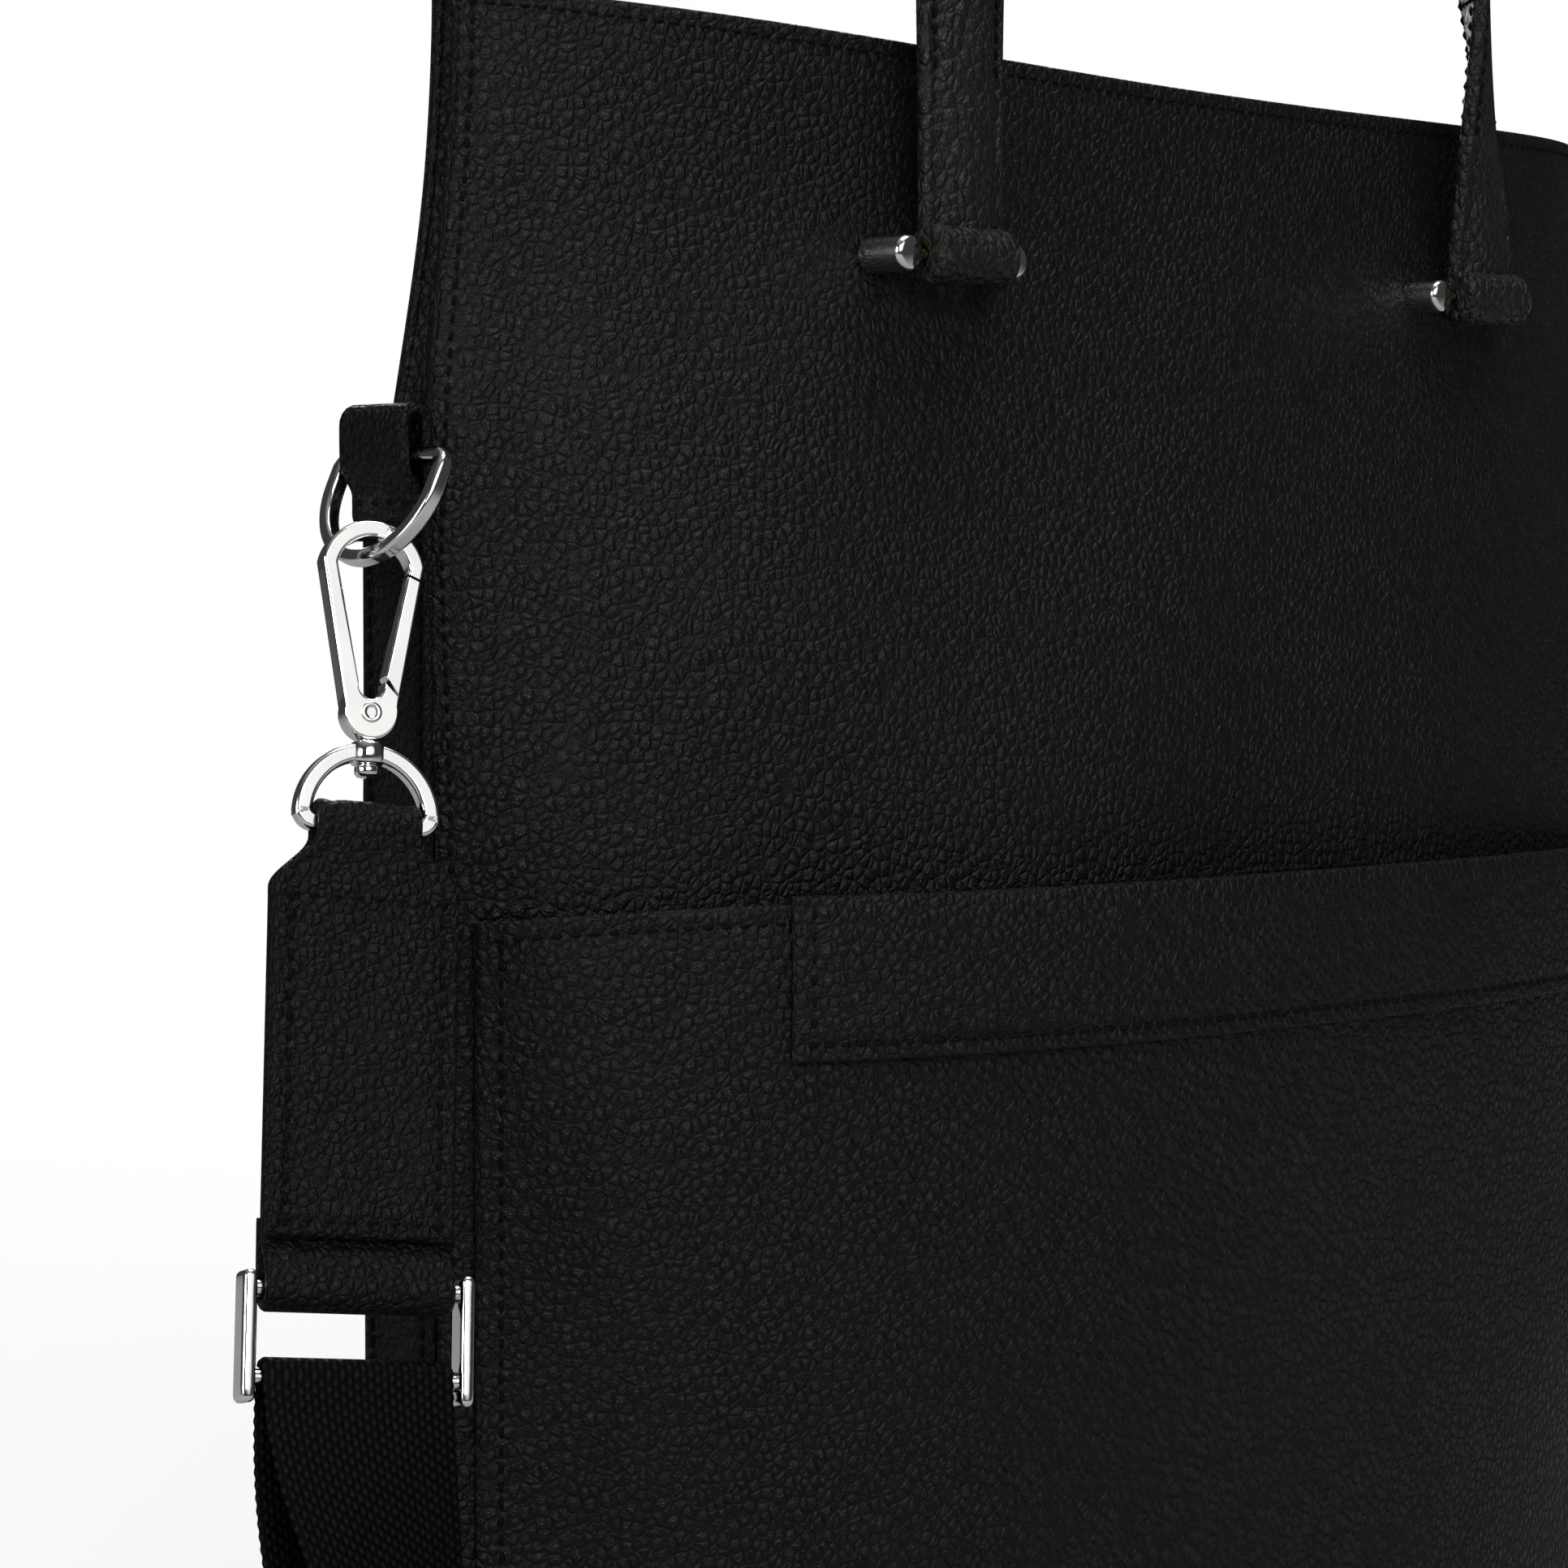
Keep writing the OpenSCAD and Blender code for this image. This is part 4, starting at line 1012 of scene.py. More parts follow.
class BAG_OT_handles(Operator):
    """Builds the handles, their rolled feet and the posts, and dresses the axles."""

    bl_idname = "bag.handles"
    bl_label = "Build the handles"

    def execute(self, context):
        h = context.scene.bag_handle
        arch, rows = self.arch(h)
        front = join([arch, *(self.foot(h, end) for end in ENDS)]), join(rows), self.posts(h)
        back = [self.folded(h, part) for part in front[:2]] + [front[2]]
        back = [flipped(part, 1) for part in back]
        for (name, _), (strap_part, thread, posts) in zip(FACES, (front, back)):
            body = f"{name}_handle"
            # the handles get the lighter copy of the leather, whose paler colour is painted
            # highlight
            leather(body, strap_part, body=body, material="handle_leather")
            seams(body, [thread], body)
            chrome(f"{name}_posts", posts, "root", f"{name}_handle_posts")
            dress("warm_brass", f"{name}_handle_axles")
        return {"FINISHED"}

    def arch(self, h):
        """Arch: cosine and sine of an angle, each raised to a power, give the strap's line, and
        its section turns from flat at the feet to edge up at the top."""
        a = np.radians(np.linspace(0, 180, 221))
        c, s = np.cos(a), np.maximum(0.0, np.sin(a))
        rise = s ** h.bow
        low = 3 * MM
        centre = columns(h.foot_x * np.sign(c) * np.abs(c) ** h.bow,
                         -h.axle_y + h.lean * rise ** 2,
                         h.axle_z + low + (h.arch - low) * rise)
        head = unit(columns(h.foot_x * s ** (2 - h.bow), -h.arch * c * np.abs(c) ** (1 - h.bow)))
        flat = columns(head[:, 1], 0.0, -head[:, 0])
        quarter = np.pi / 2
        early = 1.0 - np.maximum(0.0, 1.0 - a / quarter) ** h.twist_power
        late = ease(h.twist * (np.pi - a) / quarter)
        turn = -quarter * np.where(a < quarter, early, late)[:, None]
        wide = np.cos(turn) * flat + np.sin(turn) * Y_AXIS
        deep = np.cos(turn) * Y_AXIS - np.sin(turn) * flat
        inset = h.width / 2 - 2.4 * MM

        def relief(d):
            padding = 1.5 * MM * np.maximum(0.0, 1 - (d / inset) ** 2)
            return padding + groove(np.abs(d) - inset, 0.3 * MM, 0.9 * MM)

        part = carry(centre, wide, -deep, h.width / 2, h.thick / 2, 24, 5, 0.8, relief=relief)
        rows = []
        free, cross = 6, 14
        for face in ENDS:
            up = deep * face
            skin_line = centre + up * h.thick / 2
            for edge in ENDS:
                rows.append(sewing((skin_line + wide * edge * inset)[free:-free], up[free:-free]))
            at = np.linspace(-inset, inset, 16)[:, None]
            rows += [sewing(skin_line[i] + wide[i] * at, up[i]) for i in (-1 - cross, cross)]
        return part, rows

    def folded(self, h, part):
        """Surface turned about the axles, away from the bag."""
        points, quads = part
        y, z = points[:, 1] + h.axle_y, points[:, 2] - h.axle_z
        c, s = math.cos(h.back_fold), math.sin(h.back_fold)
        return columns(points[:, 0], y * c - z * s - h.axle_y, y * s + z * c + h.axle_z), quads

    def foot(self, h, end):
        """Rolled foot: an outline of two half circles, above and below the axle, carried along it
        with rounded ends, and a bore round the axle."""
        t = np.radians(np.arange(-90, 90, 7.5) + 3.75)
        over = columns(0.0, np.sin(t), np.cos(t))
        ray = np.concatenate([over, -over])
        shift = columns(0.0, -h.foot_fore, np.repeat([h.foot_up, -h.foot_down], len(t)))
        soft, bore, dish = 1.3 * MM, 1.3 * MM, 0.7 * MM
        bend = np.radians(np.linspace(90, 0, 7))
        lip = [[-h.foot_half + dish * 0.4, h.foot_deep - soft * 1.8]]
        corner = columns(-h.foot_half + soft - soft * np.sin(bend),
                         h.foot_deep - soft + soft * np.cos(bend))
        flat = columns(np.linspace(-1, 0, 9)[1:] * (h.foot_half - soft), h.foot_deep)
        half = np.concatenate([lip, corner, flat])
        x, r = np.concatenate([half, half[-2::-1] * (-1, 1)]).T[..., None, None]
        axle = np.array([end * h.foot_x, -h.axle_y, h.axle_z])
        outside = axle + x * X_AXIS + shift + ray * r
        inner = np.linspace(h.foot_half - dish, dish - h.foot_half, 6)[:, None, None]
        return loft(np.concatenate([outside, axle + inner * X_AXIS + ray * bore]), True)

    def posts(self, h):
        """Posts: a turned pin with a rounded, slightly domed end and a shank in the leather."""
        parts = []
        tip, r, shank = h.axle_y + h.post_tip, h.post_r, 1.5 * MM
        bend = np.radians(np.linspace(0, 84, 8))
        dome = columns(r * (0.62 + 0.38 * np.cos(bend)), tip - 1.6 * MM + 1.3 * MM * np.sin(bend))
        end = [(r * 0.35, tip - 0.1 * MM), (r * 0.02, tip)]
        for x in post_places():
            seat = skin(abs(x) - r, h.axle_z - r) - 1 * MM
            profile = [(shank, seat - 8 * MM), (shank, seat), (r, seat), *dome, *end]
            parts.append(turned(profile, (x, 0.0, h.axle_z), (0.0, -1.0, 0.0), 40))
        return join(parts)


def hang_frame():
    """Origin and axes of the hanging strap on the left: its top is the hook's top, local Z is up
    the strap, X across it and -Y its front."""
    s = strap()
    c, n = math.cos(s.turn), math.sin(s.turn)
    cross = np.array([[0, 0, 1], [0, 0, 1], [-1, -1, 0]]) / math.sqrt(2)
    lean = np.eye(3) + math.sin(s.tilt) * cross + (1 - math.cos(s.tilt)) * cross @ cross
    axes = lean @ np.array([[c, n, 0], [-n, c, 0], [0, 0, 1]])
    hang_y = -2.8 * MM
    drop = D_SIDE + math.sqrt(D_HALF ** 2 - hang_y ** 2)
    up = D_THICK / 2 + 1.6 * MM + HOOK_WIRE
    top = np.array([-s.bar_x - drop * math.sin(s.ring_tilt), RING_SHIFT + hang_y,
                    s.bar_z - drop * math.cos(s.ring_tilt)])
    return top + up * axes[:, 2], axes


def hung(part, side):
    """Surface drawn in the hanging strap's frame, put in its place on either side of the bag."""
    origin, axes = hang_frame()
    points, quads = part
    placed = origin + points @ axes.T, quads
    return placed if side < 0 else flipped(placed, 0)


def pear(top_r, top_s, end_r, end_s, low, high):
    """Pear outline round a large circle above a small one, from a share high of its right side
    up, over the top, down the left, round the foot and up to the share low of its right side."""
    lean = math.asin((top_r - end_r) / (end_s - top_s))
    top = np.linspace(lean, math.pi - lean, 36)
    foot = np.linspace(math.pi - lean, 2 * math.pi + lean, 36)
    over = columns(top_r * np.cos(top), top_r * np.sin(top) - top_s)
    under = columns(end_r * np.cos(foot), end_r * np.sin(foot) - end_s)
    right = mix(under[-1], over[0], np.linspace(high, 1.0, 6)[:, None])
    left = mix(over[-1], under[0], np.linspace(0, 1, 14)[1:-1, None])
    last = mix(under[-1], over[0], np.linspace(0.0, low, 4)[1:, None])
    return np.concatenate([right[:-1], over, left, under, last])


def gate_side(top_r, top_s, end_r, end_s, low, high):
    """Part of a pear's right side between two shares of its length."""
    lean = math.asin((top_r - end_r) / (end_s - top_s))
    c, s = math.cos(lean), math.sin(lean)
    foot = np.array([end_r * c, end_r * s - end_s])
    top = np.array([top_r * c, top_r * s - top_s])
    return mix(foot, top, np.linspace(low, high, 24)[:, None])


def band_between(inner, outer, thick):
    """Flat band with chamfered edges between two outlines in the strap's plane."""
    mid, d = (inner + outer) / 2, outer - inner
    size = np.linalg.norm(d, axis=1)
    d = unit(d)
    return carry(columns(mid[:, 0], 0.0, mid[:, 1]), columns(d[:, 0], 0.0, d[:, 1]), -Y_AXIS,
                 size / 2, thick / 2, 6, 3, 0.26)


def d_outline(r, middle, bar, bend, way, steps):
    """Outline of a D: a half circle about a middle height, upwards or downwards by way, closed
    by a straight bar at another height with corners of radius bend."""
    t = np.radians(np.linspace(0, 180, 48))
    arc = columns(r * np.cos(t), middle + way * r * np.sin(t))
    q = np.radians(np.linspace(180, 90, 9))
    left = columns(-r + bend + bend * np.cos(q), bar + way * bend * (1 - np.sin(q)))
    flat = columns(np.linspace(-r + bend, r - bend, steps)[1:-1], bar)
    return np.concatenate([arc, left, flat, left[::-1] * (-1, 1)])


class BAG_OT_rings(Operator):
    """Builds the hanging rings."""

    bl_idname = "bag.rings"
    bl_label = "Build the hanging rings"

    def execute(self, context):
        s = strap()
        path = d_outline(D_HALF, -D_SIDE, 0.0, 2.2 * MM, -1, 12)
        d = tangents(path, True)
        c, n = math.cos(s.ring_tilt), math.sin(s.ring_tilt)
        across, up = np.array([c, 0.0, -n]), np.array([n, 0.0, c])
        bar = np.array([-s.bar_x, RING_SHIFT, s.bar_z])
        centre = path[:, :1] * Y_AXIS + path[:, 1:] * up + bar
        deep = d[:, 1:] * Y_AXIS - d[:, :1] * up
        flat = ease((-path[:, 1] - 0.3 * MM) / (2.5 * MM))
        part = carry(centre, across, deep, mix(BAR_R, D_WIDE / 2, flat),
                     mix(BAR_R, D_THICK / 2, flat), 6, 4, 0.6, True)
        for name, side in SIDES:
            ring = f"{name}_d_ring"
            chrome(ring, part if side < 0 else flipped(part, 0), ring, ring)
        return {"FINISHED"}


class BAG_OT_hooks(Operator):
    """Builds the snap hooks with their gates, pins and swivel posts."""

    bl_idname = "bag.hooks"
    bl_label = "Build the hooks"

    def execute(self, context):
        outer = (HOOK_R, HOOK_R, BLOCK_R, PIVOT)
        eye = (EYE_R, EYE_S, EYE_FOOT, EYE_END)
        hook = band_between(pear(*eye, 0.003, 0.955), pear(*outer, 0.070, 0.905), HOOK_T)
        gate = band_between(gate_side(*eye, 0.065, 0.935), gate_side(*outer, 0.092, 0.887),
                            HOOK_T - 0.3 * MM)
        rivet = join([turned(self.rivet_head(), (0.0, 0.0, -PIVOT), (0.0, face, 0.0), 28)
                      for face in ENDS])
        post = turned(self.post(), (0.0, 0.0, 0.0), (0.0, 0.0, 1.0), 36)
        for name, side in SIDES:
            body = f"{name}_hook"
            chrome(body, hung(hook, side), body, body, sharp=40)
            chrome(f"{name}_gate", hung(gate, side), f"{name}_gate", f"{name}_gate", sharp=40)
            chrome(f"{name}_rivet", hung(rivet, side), body, f"{name}_gate_pin")
            chrome(f"{name}_swivel", hung(post, side), body, f"{name}_swivel_post")
            dress("brushed_steel", f"{name}_gate_spring")
        return {"FINISHED"}

    def rivet_head(self):
        """Profile of a rivet's dished head: shares of its radius, and heights over the hook."""
        r, up = 1.75 * MM, HOOK_T / 2
        steps = ((1.0, -0.4), (1.0, 0.06), (0.93, 0.16), (0.62, 0.16), (0.52, 0.05), (0.3, -0.1),
                 (0.02, -0.12))
        return [(r * share, up + rise * MM) for share, rise in steps]

    def post(self):
        """Profile of the swivel post: its shank in the hook, its stem and its riveted head."""
        low = -RING_TOP - BOSS_L
        shank = 1.2 * MM
        head = ((1.85, 0.15), (2.0, 0.4), (2.0, 1.4), (1.7, 1.85), (1.0, 2.05), (0.05, 2.1))
        return [(shank, shank - HOOK_END), (shank, -HOOK_END), (POST_R, -HOOK_END),
                (POST_R, low - 0.1 * MM), *((r * MM, low - drop * MM) for r, drop in head)]


class BAG_OT_fittings(Operator):
    """Builds the strap rings and the sliders."""

    bl_idname = "bag.fittings"
    bl_label = "Build the strap rings and sliders"

    def execute(self, context):
        ring, slider = self.ring(), self.slider()
        for name, side in SIDES:
            for stem, part in (("strap_ring", ring), ("slider", slider)):
                piece = f"{name}_{stem}"
                chrome(piece, hung(part, side), f"{name}_strap_end", piece)
        dress("polished_chrome", "strap_adjuster")
        return {"FINISHED"}

    def ring(self):
        """Strap ring: a rounded square section carried round a half circle and a straight bar,
        with a turned boss at its top."""
        path = d_outline(RING_R - RING_WIRE / 2, -RING_TOP - RING_R, -RING_BAR, 2 * MM, 1, 10)
        d = tangents(path, True)
        body = carry(columns(path[:, 0], 0.0, path[:, 1]), columns(d[:, 1], 0.0, -d[:, 0]), -Y_AXIS,
                     RING_WIRE / 2, RING_WIRE / 2, 5, 4, 0.5, True)
        b, hole, low = BOSS_R, POST_R + 0.08 * MM, -RING_TOP - BOSS_L
        profile = [(hole, -RING_TOP - 0.05 * MM), (b * 0.9, -RING_TOP), (b, -RING_TOP - 0.4 * MM),
                   (b, low + 0.5 * MM), (b * 0.9, low + 0.1 * MM), (hole, low)]
        return join([body, turned(profile, (0.0, 0.0, 0.0), (0.0, 0.0, 1.0), 40)])

    def slider(self):
        """Slider: two rounded side plates joined by two round bars."""
        half, side_t, deep, bar_r, soft = 17.8 * MM, 2.4 * MM, 5.5 * MM, 1.6 * MM, 1.1 * MM
        s = SLIDER_TOP + soft_steps(SLIDER_END - SLIDER_TOP, 14, soft)
        k = soft_edge(np.minimum(s - SLIDER_TOP, SLIDER_END - s) + 0.05 * MM, soft)
        parts = [carry(columns(end * half, 0.0, -s), Y_AXIS, X_AXIS,
                       deep / 2 - 0.6 * MM * (1 - k), side_t / 2 * np.maximum(k, 0.25), 6, 4, 0.7)
                 for end in ENDS]
        parts += [turned([(bar_r, -half), (bar_r, half)], (0.0, 0.0, -bar), (1.0, 0.0, 0.0), 28)
                  for bar in (SLIDER_BAR, SLIDER_LOW)]
        return join(parts)


class BAG_OT_tabs(Operator):
    """Builds the two-layer leather tabs between the strap rings and the sliders."""

    bl_idname = "bag.tabs"
    bl_label = "Build the tabs"

    HALF_T, LAYER, FRONT_END, INSET = 1.1 * MM, 1.3 * MM, 117 * MM, 2.9 * MM

    def execute(self, context):
        path = self.line()
        run = run_along(path)
        d = tangents(path)
        thin = np.maximum(soft_edge(np.minimum(run, run[-1] - run), self.HALF_T), 0.06)
        half = self.half_width(-path[:, 1])

        def relief(x):
            return groove(half[:, None] - np.abs(x) - self.INSET, 0.28 * MM, 0.9 * MM)

        part = carry(columns(0.0, path[:, 0], path[:, 1]), X_AXIS, columns(0.0, -d[:, 1], d[:, 0]),
                     half, self.HALF_T * thin, 22, 5, 0.9, relief=relief)
        rows = join(self.rows())
        for name, side in SIDES:
            body = f"{name}_strap_end"
            leather(f"{name}_tab", hung(part, side), f"{name}_strap_tab", body, "strap_leather")
            seams(f"{name}_tab", [hung(rows, side)], body)
        return {"FINISHED"}

    def line(self):
        """Middle line of the folded leather seen from the side: up the front, over the ring's
        bar, down the back, round the slider's bar and a short way up again, smoothed."""
        layer, bend = self.LAYER, 2.8 * MM
        over, under = (np.radians(np.linspace(180, stop, n)) for stop, n in ((0, 22), (350, 20)))
        line = np.concatenate([
            [(-layer, -self.FRONT_END), (-layer, -64 * MM), (-layer * 1.3, -57 * MM)],
            columns(bend * np.cos(over), -RING_BAR + bend * np.sin(over)),
            [(layer * 1.3, -57 * MM), (layer, -64 * MM), (layer, -113 * MM),
             (0.6 * layer, -117.5 * MM), (-0.6 * bend, -121 * MM)],
            columns(bend * np.cos(under), -SLIDER_BAR + bend * np.sin(under)),
            [(bend + 0.35 * MM, -121 * MM), (bend + 0.6 * MM, -113.5 * MM)]])
        line = spaced(spaced(line, 0.35 * MM), 0.6 * MM)
        for _ in range(2):
            line[1:-1] = (line[:-2] + 2 * line[1:-1] + line[2:]) / 4
        return line

    def half_width(self, s):
        """Half width at a distance down the strap: the neck, rounded shoulders, the body."""
        return mix(8.7 * MM, strap().width / 2, ease((s - 52 * MM) / (9 * MM)))

    def rows(self):
        """Sewing round the tab's front and back faces and across its neck."""
        rows = []
        s = np.linspace(62.5 * MM, self.FRONT_END - self.INSET, 120)
        half = self.half_width(s) - self.INSET
        x = np.linspace(-half[-1], half[-1], 40)
        for face in ENDS:
            y = face * (self.LAYER + self.HALF_T)
            lines = [columns(edge * half, y, -s) for edge in ENDS]
            lines += [columns(x, y, -s[i]) for i in (-1, 0)]
            rows += [sewing(line, (0.0, face, 0.0)) for line in lines]
        return rows


def drop_line(t, layer):
    """Middle line, across and front directions of one layer of the hanging webbing: a cubic
    curve from the slider to the floor, turning about its length, its layers bowed apart."""
    s = strap()
    origin, axes = hang_frame()
    down = -axes[:, 2]
    start = origin + SLIDER_LOW * down
    stop = np.array([-s.run_x, s.drop_y, s.drop_z])
    reach = 30 * MM
    p, q = start + reach * down, stop + reach * Z_AXIS
    u = t[:, None]
    mid = (1 - u) ** 3 * start + 3 * (1 - u) ** 2 * u * p + 3 * (1 - u) * u ** 2 * q + u ** 3 * stop
    bow = np.sin(np.pi * t)
    turn = -s.turn * (1 - ease(2 * t)) + math.radians(11) * bow
    wide = columns(np.cos(turn), np.sin(turn), 0.0)
    deep = columns(-wide[:, 1], wide[:, 0], mix(-math.sin(s.tilt), 0.0, np.minimum(1, 2 * t)))
    apart = mix(SLIDER_GAP + s.web / 2, s.web / 2 + 0.05 * MM, t) + 4.2 * MM * bow
    return mid + deep * layer * apart[:, None], wide, deep


class BAG_OT_webbing(Operator):
    """Builds the hanging webbing and its runs on the floor."""

    bl_idname = "bag.webbing"
    bl_label = "Build the webbing"

    def execute(self, context):
        for name, side in SIDES:
            self.drop(name, side)
        for name, side in SIDES:
            self.run(name, side)
        self.back()
        return {"FINISHED"}

    def strip(self, stem, stations, body, side=-1, butted=(False, False)):
        """One length of webbing: a thin section with full selvedges carried along stations,
        its edges scalloped by the weave, with coordinates across and along in metres. An end
        that is butted to the next length keeps its thickness, and a loose one is rounded."""
        s = strap()
        form = (10, 4, 0.95)
        parts, maps = [], []
        for centre, wide, deep in stations:
            run = run_along(centre)
            half = s.width / 2 - 0.12 * MM * (1 - np.cos(run * 2 * np.pi / WEFT))
            first, last = (np.full_like(run, s.width) if end else d
                           for end, d in zip(butted, (run, run[-1] - run)))
            thin = np.maximum(soft_edge(np.minimum(first, last), s.web / 2), 0.1)
            parts.append(carry(centre, wide, deep, half, s.web / 2 * thin, *form))
            across = section(*np.array([[[s.width / 2]], [[s.web / 2]]]), *form)[0]
            maps.append(columns(across, run[:, None]).reshape(-1, 2))
        part = join(parts)
        return write(f"{stem}_weave", part if side < 0 else flipped(part, 0), "woven_webbing", body,
                     [stem], uv=np.concatenate(maps))

    def drop(self, name, side):
        """Hanging webbing: up in front, round the slider's bar and down behind, to the floor on
        the left and half way on the right."""
        origin, axes = hang_frame()
        steps = 210
        last = 1.0 if side < 0 else 0.5
        front = drop_line(np.linspace(1, 0, steps), -1)
        back = drop_line(np.linspace(0, last, int(steps * last)), 1)
        t = np.radians(np.linspace(180, 0, 15))[1:-1]
        ray = columns(0.0, np.cos(t), np.sin(t))
        local = (SLIDER_GAP + strap().web / 2) * ray - SLIDER_LOW * Z_AXIS
        fold = origin + local @ axes.T, np.tile(axes[:, 0], (len(t), 1)), ray @ axes.T
        front = front[0], front[1], -front[2]
        station = [np.concatenate(rows) for rows in zip(front, fold, back)]
        piece = self.strip(f"{name}_webbing_drop", [station], None, side, (True, side < 0))
        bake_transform(piece)

    def run(self, name, side):
        """Floor run: a quarter bend off the drop, then straight back beside the bag, slanted
        where it folds at the corner. The left one has two layers."""
        s = strap()
        joint = 0.5 * MM
        bend = s.drop_z - joint - 0.1 * MM - s.web
        centre = np.array([-s.run_x, s.drop_y + bend, s.drop_z - joint])
        t = np.radians(np.linspace(0, 90, 24))
        ray = columns(0.0, -np.cos(t), -np.sin(t))
        y = np.linspace(centre[1] + 1.5 * MM, s.back_y, 90)
        slant = columns(1.0, ease((y - s.back_y + FOLD) / FOLD), 0.0)
        wide = np.concatenate([np.tile(X_AXIS, (len(t), 1)), slant])
        deep = np.concatenate([ray, np.tile(-Z_AXIS, (len(y), 1))])
        radii = (bend + s.web / 2, bend - 0.1 * MM - s.web / 2)
        stations = []
        for r in radii[:2 if side < 0 else 1]:
            curve = centre + r * ray
            curve[0, 2] = s.drop_z - 0.02 * MM
            flat = columns(-s.run_x, y, centre[2] - r)
            stations.append((np.concatenate([curve, flat]), wide, deep))
        self.strip(f"{name}_webbing_run", stations, "root", side, (True, False))

    def back(self):
        """Run behind the bag: one layer from corner to corner, slanted at both, and the tail
        doubled on it."""
        s = strap()
        stations = []
        for z, stop in ((3.5 * MM, s.run_x), (5.1 * MM, -20 * MM)):
            x = np.linspace(-s.run_x, stop, 220)
            slant = 1.0 - ease((x + s.run_x) / FOLD)
            if stop > 0:
                slant = slant - (1.0 - ease((s.run_x - x) / FOLD))
            line = columns(x, s.back_y, z + s.web / 2)
            stations.append((line, columns(slant, 1.0, 0.0), Z_AXIS))
        self.strip("back_webbing_run", stations, "root")


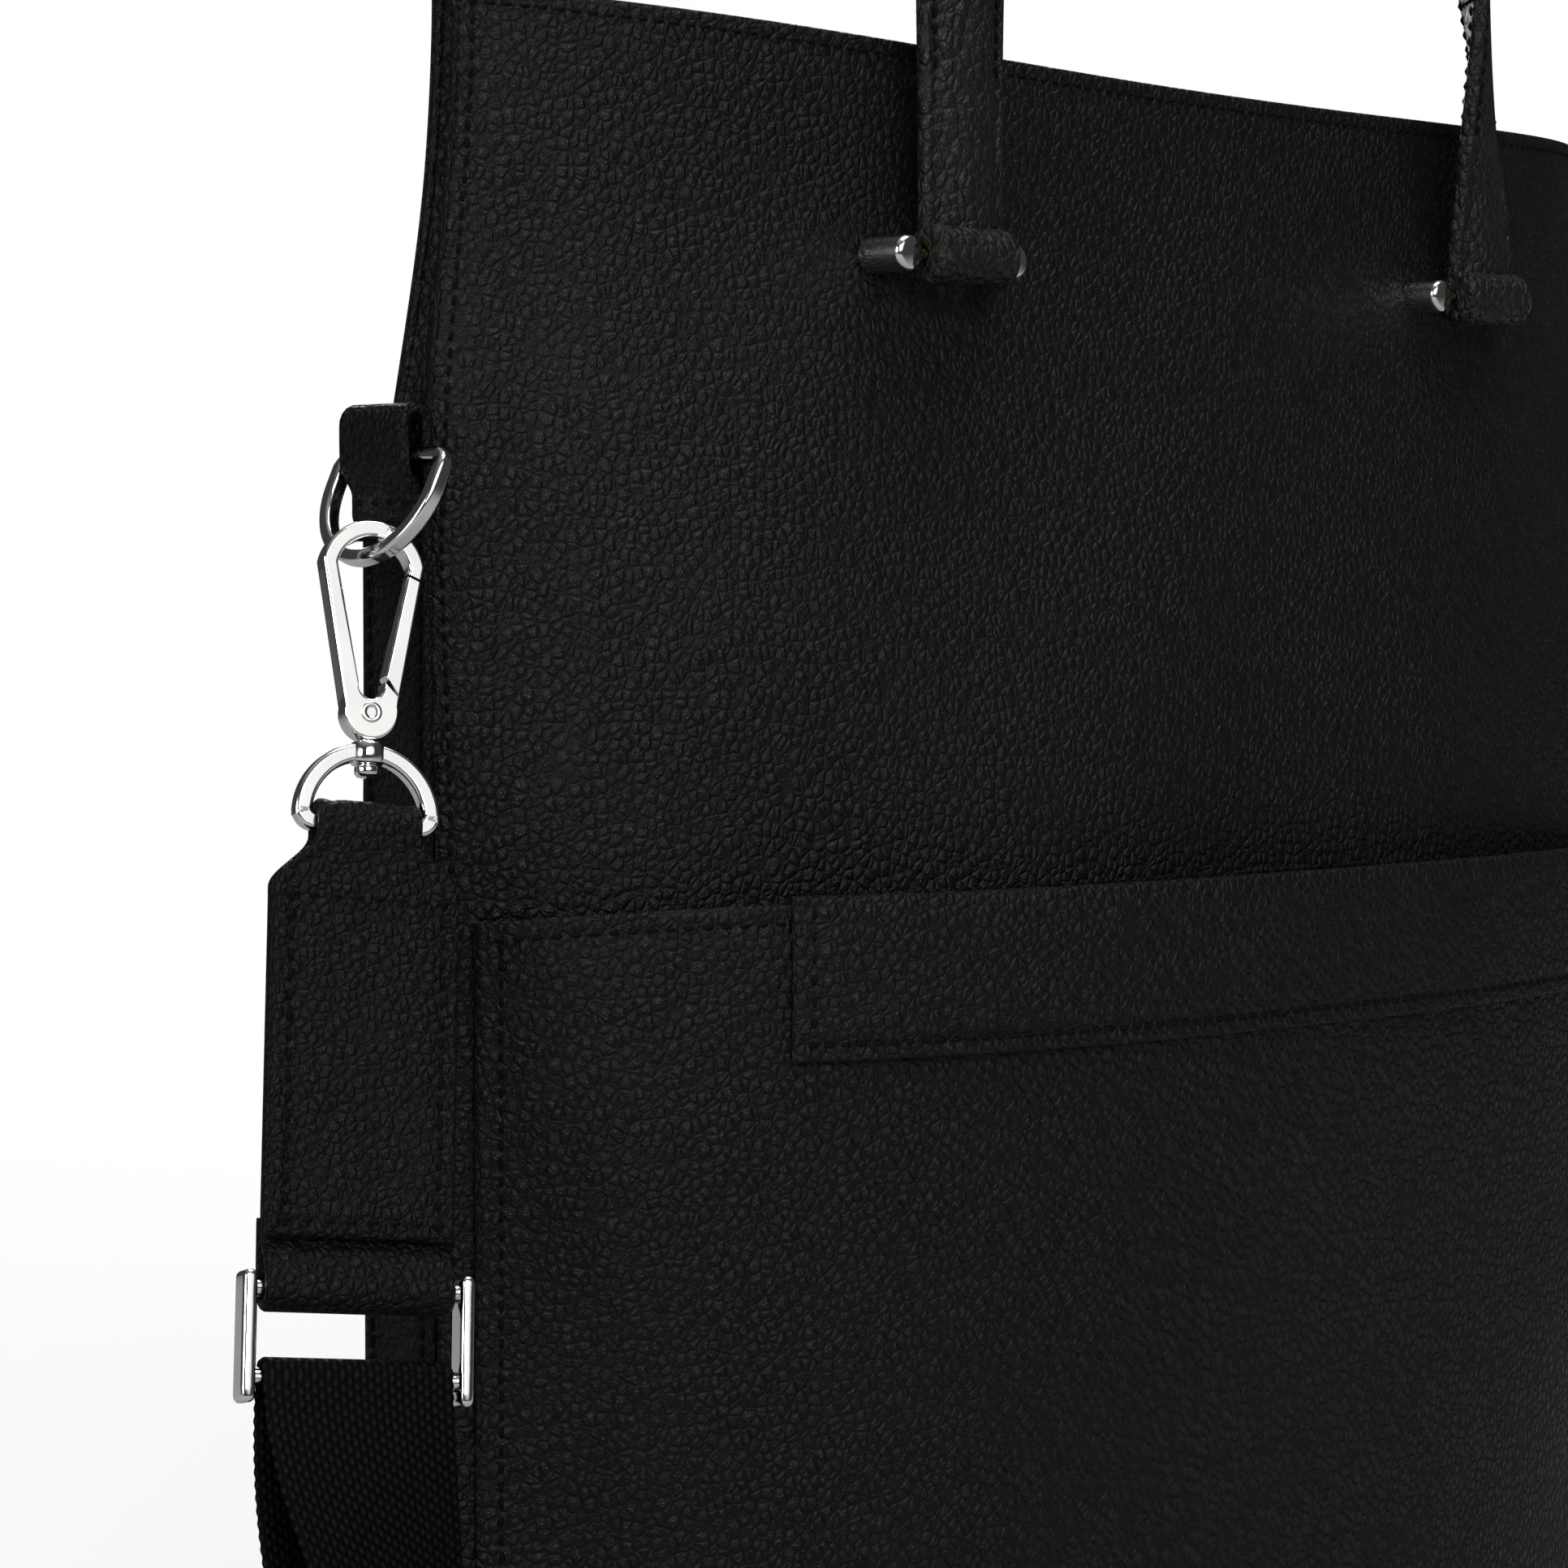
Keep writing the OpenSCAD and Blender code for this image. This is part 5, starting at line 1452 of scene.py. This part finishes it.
class BAG_OT_stage(Operator):
    """Sets up the floor, the light and the camera."""

    bl_idname = "bag.stage"
    bl_label = "Set the stage"

    def execute(self, context):
        v = context.scene.bag_view
        self.floor()
        self.world(context.scene, v)
        for name, place, size in LAMPS:
            self.lamp(name, np.array(place), size, getattr(v, name))
        camera = bpy.data.cameras.new("camera")
        camera.lens = v.lens
        camera.sensor_width = 36.0
        camera.clip_start, camera.clip_end = 0.02, 60.0
        eye = bpy.data.objects.new("camera", camera)
        eye.location = v.place
        eye.rotation_euler = (math.pi / 2 - v.pitch, 0.0, -v.turn)
        context.scene.collection.objects.link(eye)
        context.scene.camera = eye
        context.scene.view_settings.view_transform = "Standard"
        context.scene.view_settings.look = "None"
        return {"FINISHED"}

    def floor(self):
        """Wide pale floor that takes the object's shadow and is dimmer in reflections."""
        look = bpy.context.scene.bag_finish
        s = Shader("floor")
        rays = s.add("LightPath").outputs
        shade = s.blend(rays["Is Glossy Ray"], rgba(look.floor), rgba(look.floor, 0.4))
        s.set(base=shade, rough=0.8, specular=0.1)
        away = s.add("VectorMath", {0: s.place()}, operation="LENGTH").outputs["Value"]
        glow = s.add("Emission", {"Color": WHITE, "Strength": 1.0})
        share = s.times(rays["Is Camera Ray"], s.span(away, 0.4, 1.1, 0.5, 1.0))
        both = s.add("MixShader", {0: share, 1: s.surface.outputs[0], 2: glow.outputs[0]})
        s.give(s.out.inputs["Surface"], both.outputs[0])
        mesh = bpy.data.meshes.new("floor")
        size, low = 9.0, -0.2 * MM
        corners = ((-size, -size, low), (size, -size, low), (size, size, low), (-size, size, low))
        mesh.from_pydata(corners, [], [(0, 1, 2, 3)])
        mesh.materials.append(s.material)
        plane = bpy.data.objects.new("floor", mesh)
        bpy.context.scene.collection.objects.link(plane)

    def world(self, scene, v):
        """Surroundings: white to the camera, a low even light on the object, and in reflections
        a dim room with a bright wall in front, a softer one on the left and a pale ceiling."""
        scene.world = bpy.data.worlds.new("surroundings")
        scene.world.use_nodes = True
        s = Nodes(scene.world.node_tree)
        rays = s.add("LightPath").outputs
        way = s.add("TexCoord").outputs["Generated"]
        room = v.dim
        for towards, low, high, strength in ROOM:
            near = s.add("VectorMath", {0: way, 1: towards}, operation="DOT_PRODUCT")
            glow = s.span(near.outputs["Value"], low, high, v.dim, strength,
                          interpolation_type="SMOOTHSTEP")
            room = s.math("MAXIMUM", room, glow)
        strength = s.choose(rays["Is Glossy Ray"], v.ambient, room)
        strength = s.choose(rays["Is Camera Ray"], strength, 1.0)
        light = s.add("Background", {"Color": WHITE, "Strength": strength})
        s.add("OutputWorld", {"Surface": light.outputs[0]})

    def lamp(self, name, place, size, power):
        """Square lamp turned towards the middle of the bag."""
        light = bpy.data.lights.new(name, "AREA")
        light.energy = power
        light.size = size
        lamp = bpy.data.objects.new(name, light)
        x, y, z = np.array([0.0, 0.0, 0.17]) - place
        lamp.location = place
        tip, turn = math.atan2(math.hypot(x, y), -z), math.atan2(y, x) - math.pi / 2
        lamp.rotation_euler = (tip, 0.0, turn)
        bpy.context.scene.collection.objects.link(lamp)


class BAG_PT_sidebar(Panel):
    """Sizes, finish and build buttons of the bag."""

    bl_idname = "BAG_PT_sidebar"
    bl_label = "Carry bag"
    bl_space_type = "VIEW_3D"
    bl_region_type = "UI"
    bl_category = "Bag"

    def draw(self, context):
        for attribute, group in GROUPS:
            box = self.layout.box()
            box.label(text=group.__doc__)
            for key in group.__annotations__:
                box.prop(getattr(context.scene, attribute), key)
        for operator in OPERATORS:
            self.layout.operator(operator.bl_idname)


GROUPS = (("bag_shape", BagShape), ("bag_pocket", PocketShape), ("bag_handle", HandleShape),
          ("bag_strap", StrapShape), ("bag_stitch", StitchSize), ("bag_finish", Finish),
          ("bag_view", ViewSetup))
OPERATORS = (BAG_OT_materials, BAG_OT_stage, BAG_OT_panels, BAG_OT_inside, BAG_OT_pocket,
             BAG_OT_strips, BAG_OT_handles, BAG_OT_rings, BAG_OT_hooks, BAG_OT_fittings,
             BAG_OT_tabs, BAG_OT_webbing)


def register():
    for attribute, group in GROUPS:
        bpy.utils.register_class(group)
        setattr(bpy.types.Scene, attribute, PointerProperty(type=group))
    for operator in OPERATORS:
        bpy.utils.register_class(operator)
    bpy.utils.register_class(BAG_PT_sidebar)


def unregister():
    bpy.utils.unregister_class(BAG_PT_sidebar)
    for operator in reversed(OPERATORS):
        bpy.utils.unregister_class(operator)
    for attribute, group in reversed(GROUPS):
        delattr(bpy.types.Scene, attribute)
        bpy.utils.unregister_class(group)


def main():
    register()
    for operator in OPERATORS:
        family, name = operator.bl_idname.split(".")
        getattr(getattr(bpy.ops, family), name)()


if __name__ == "__main__":
    main()
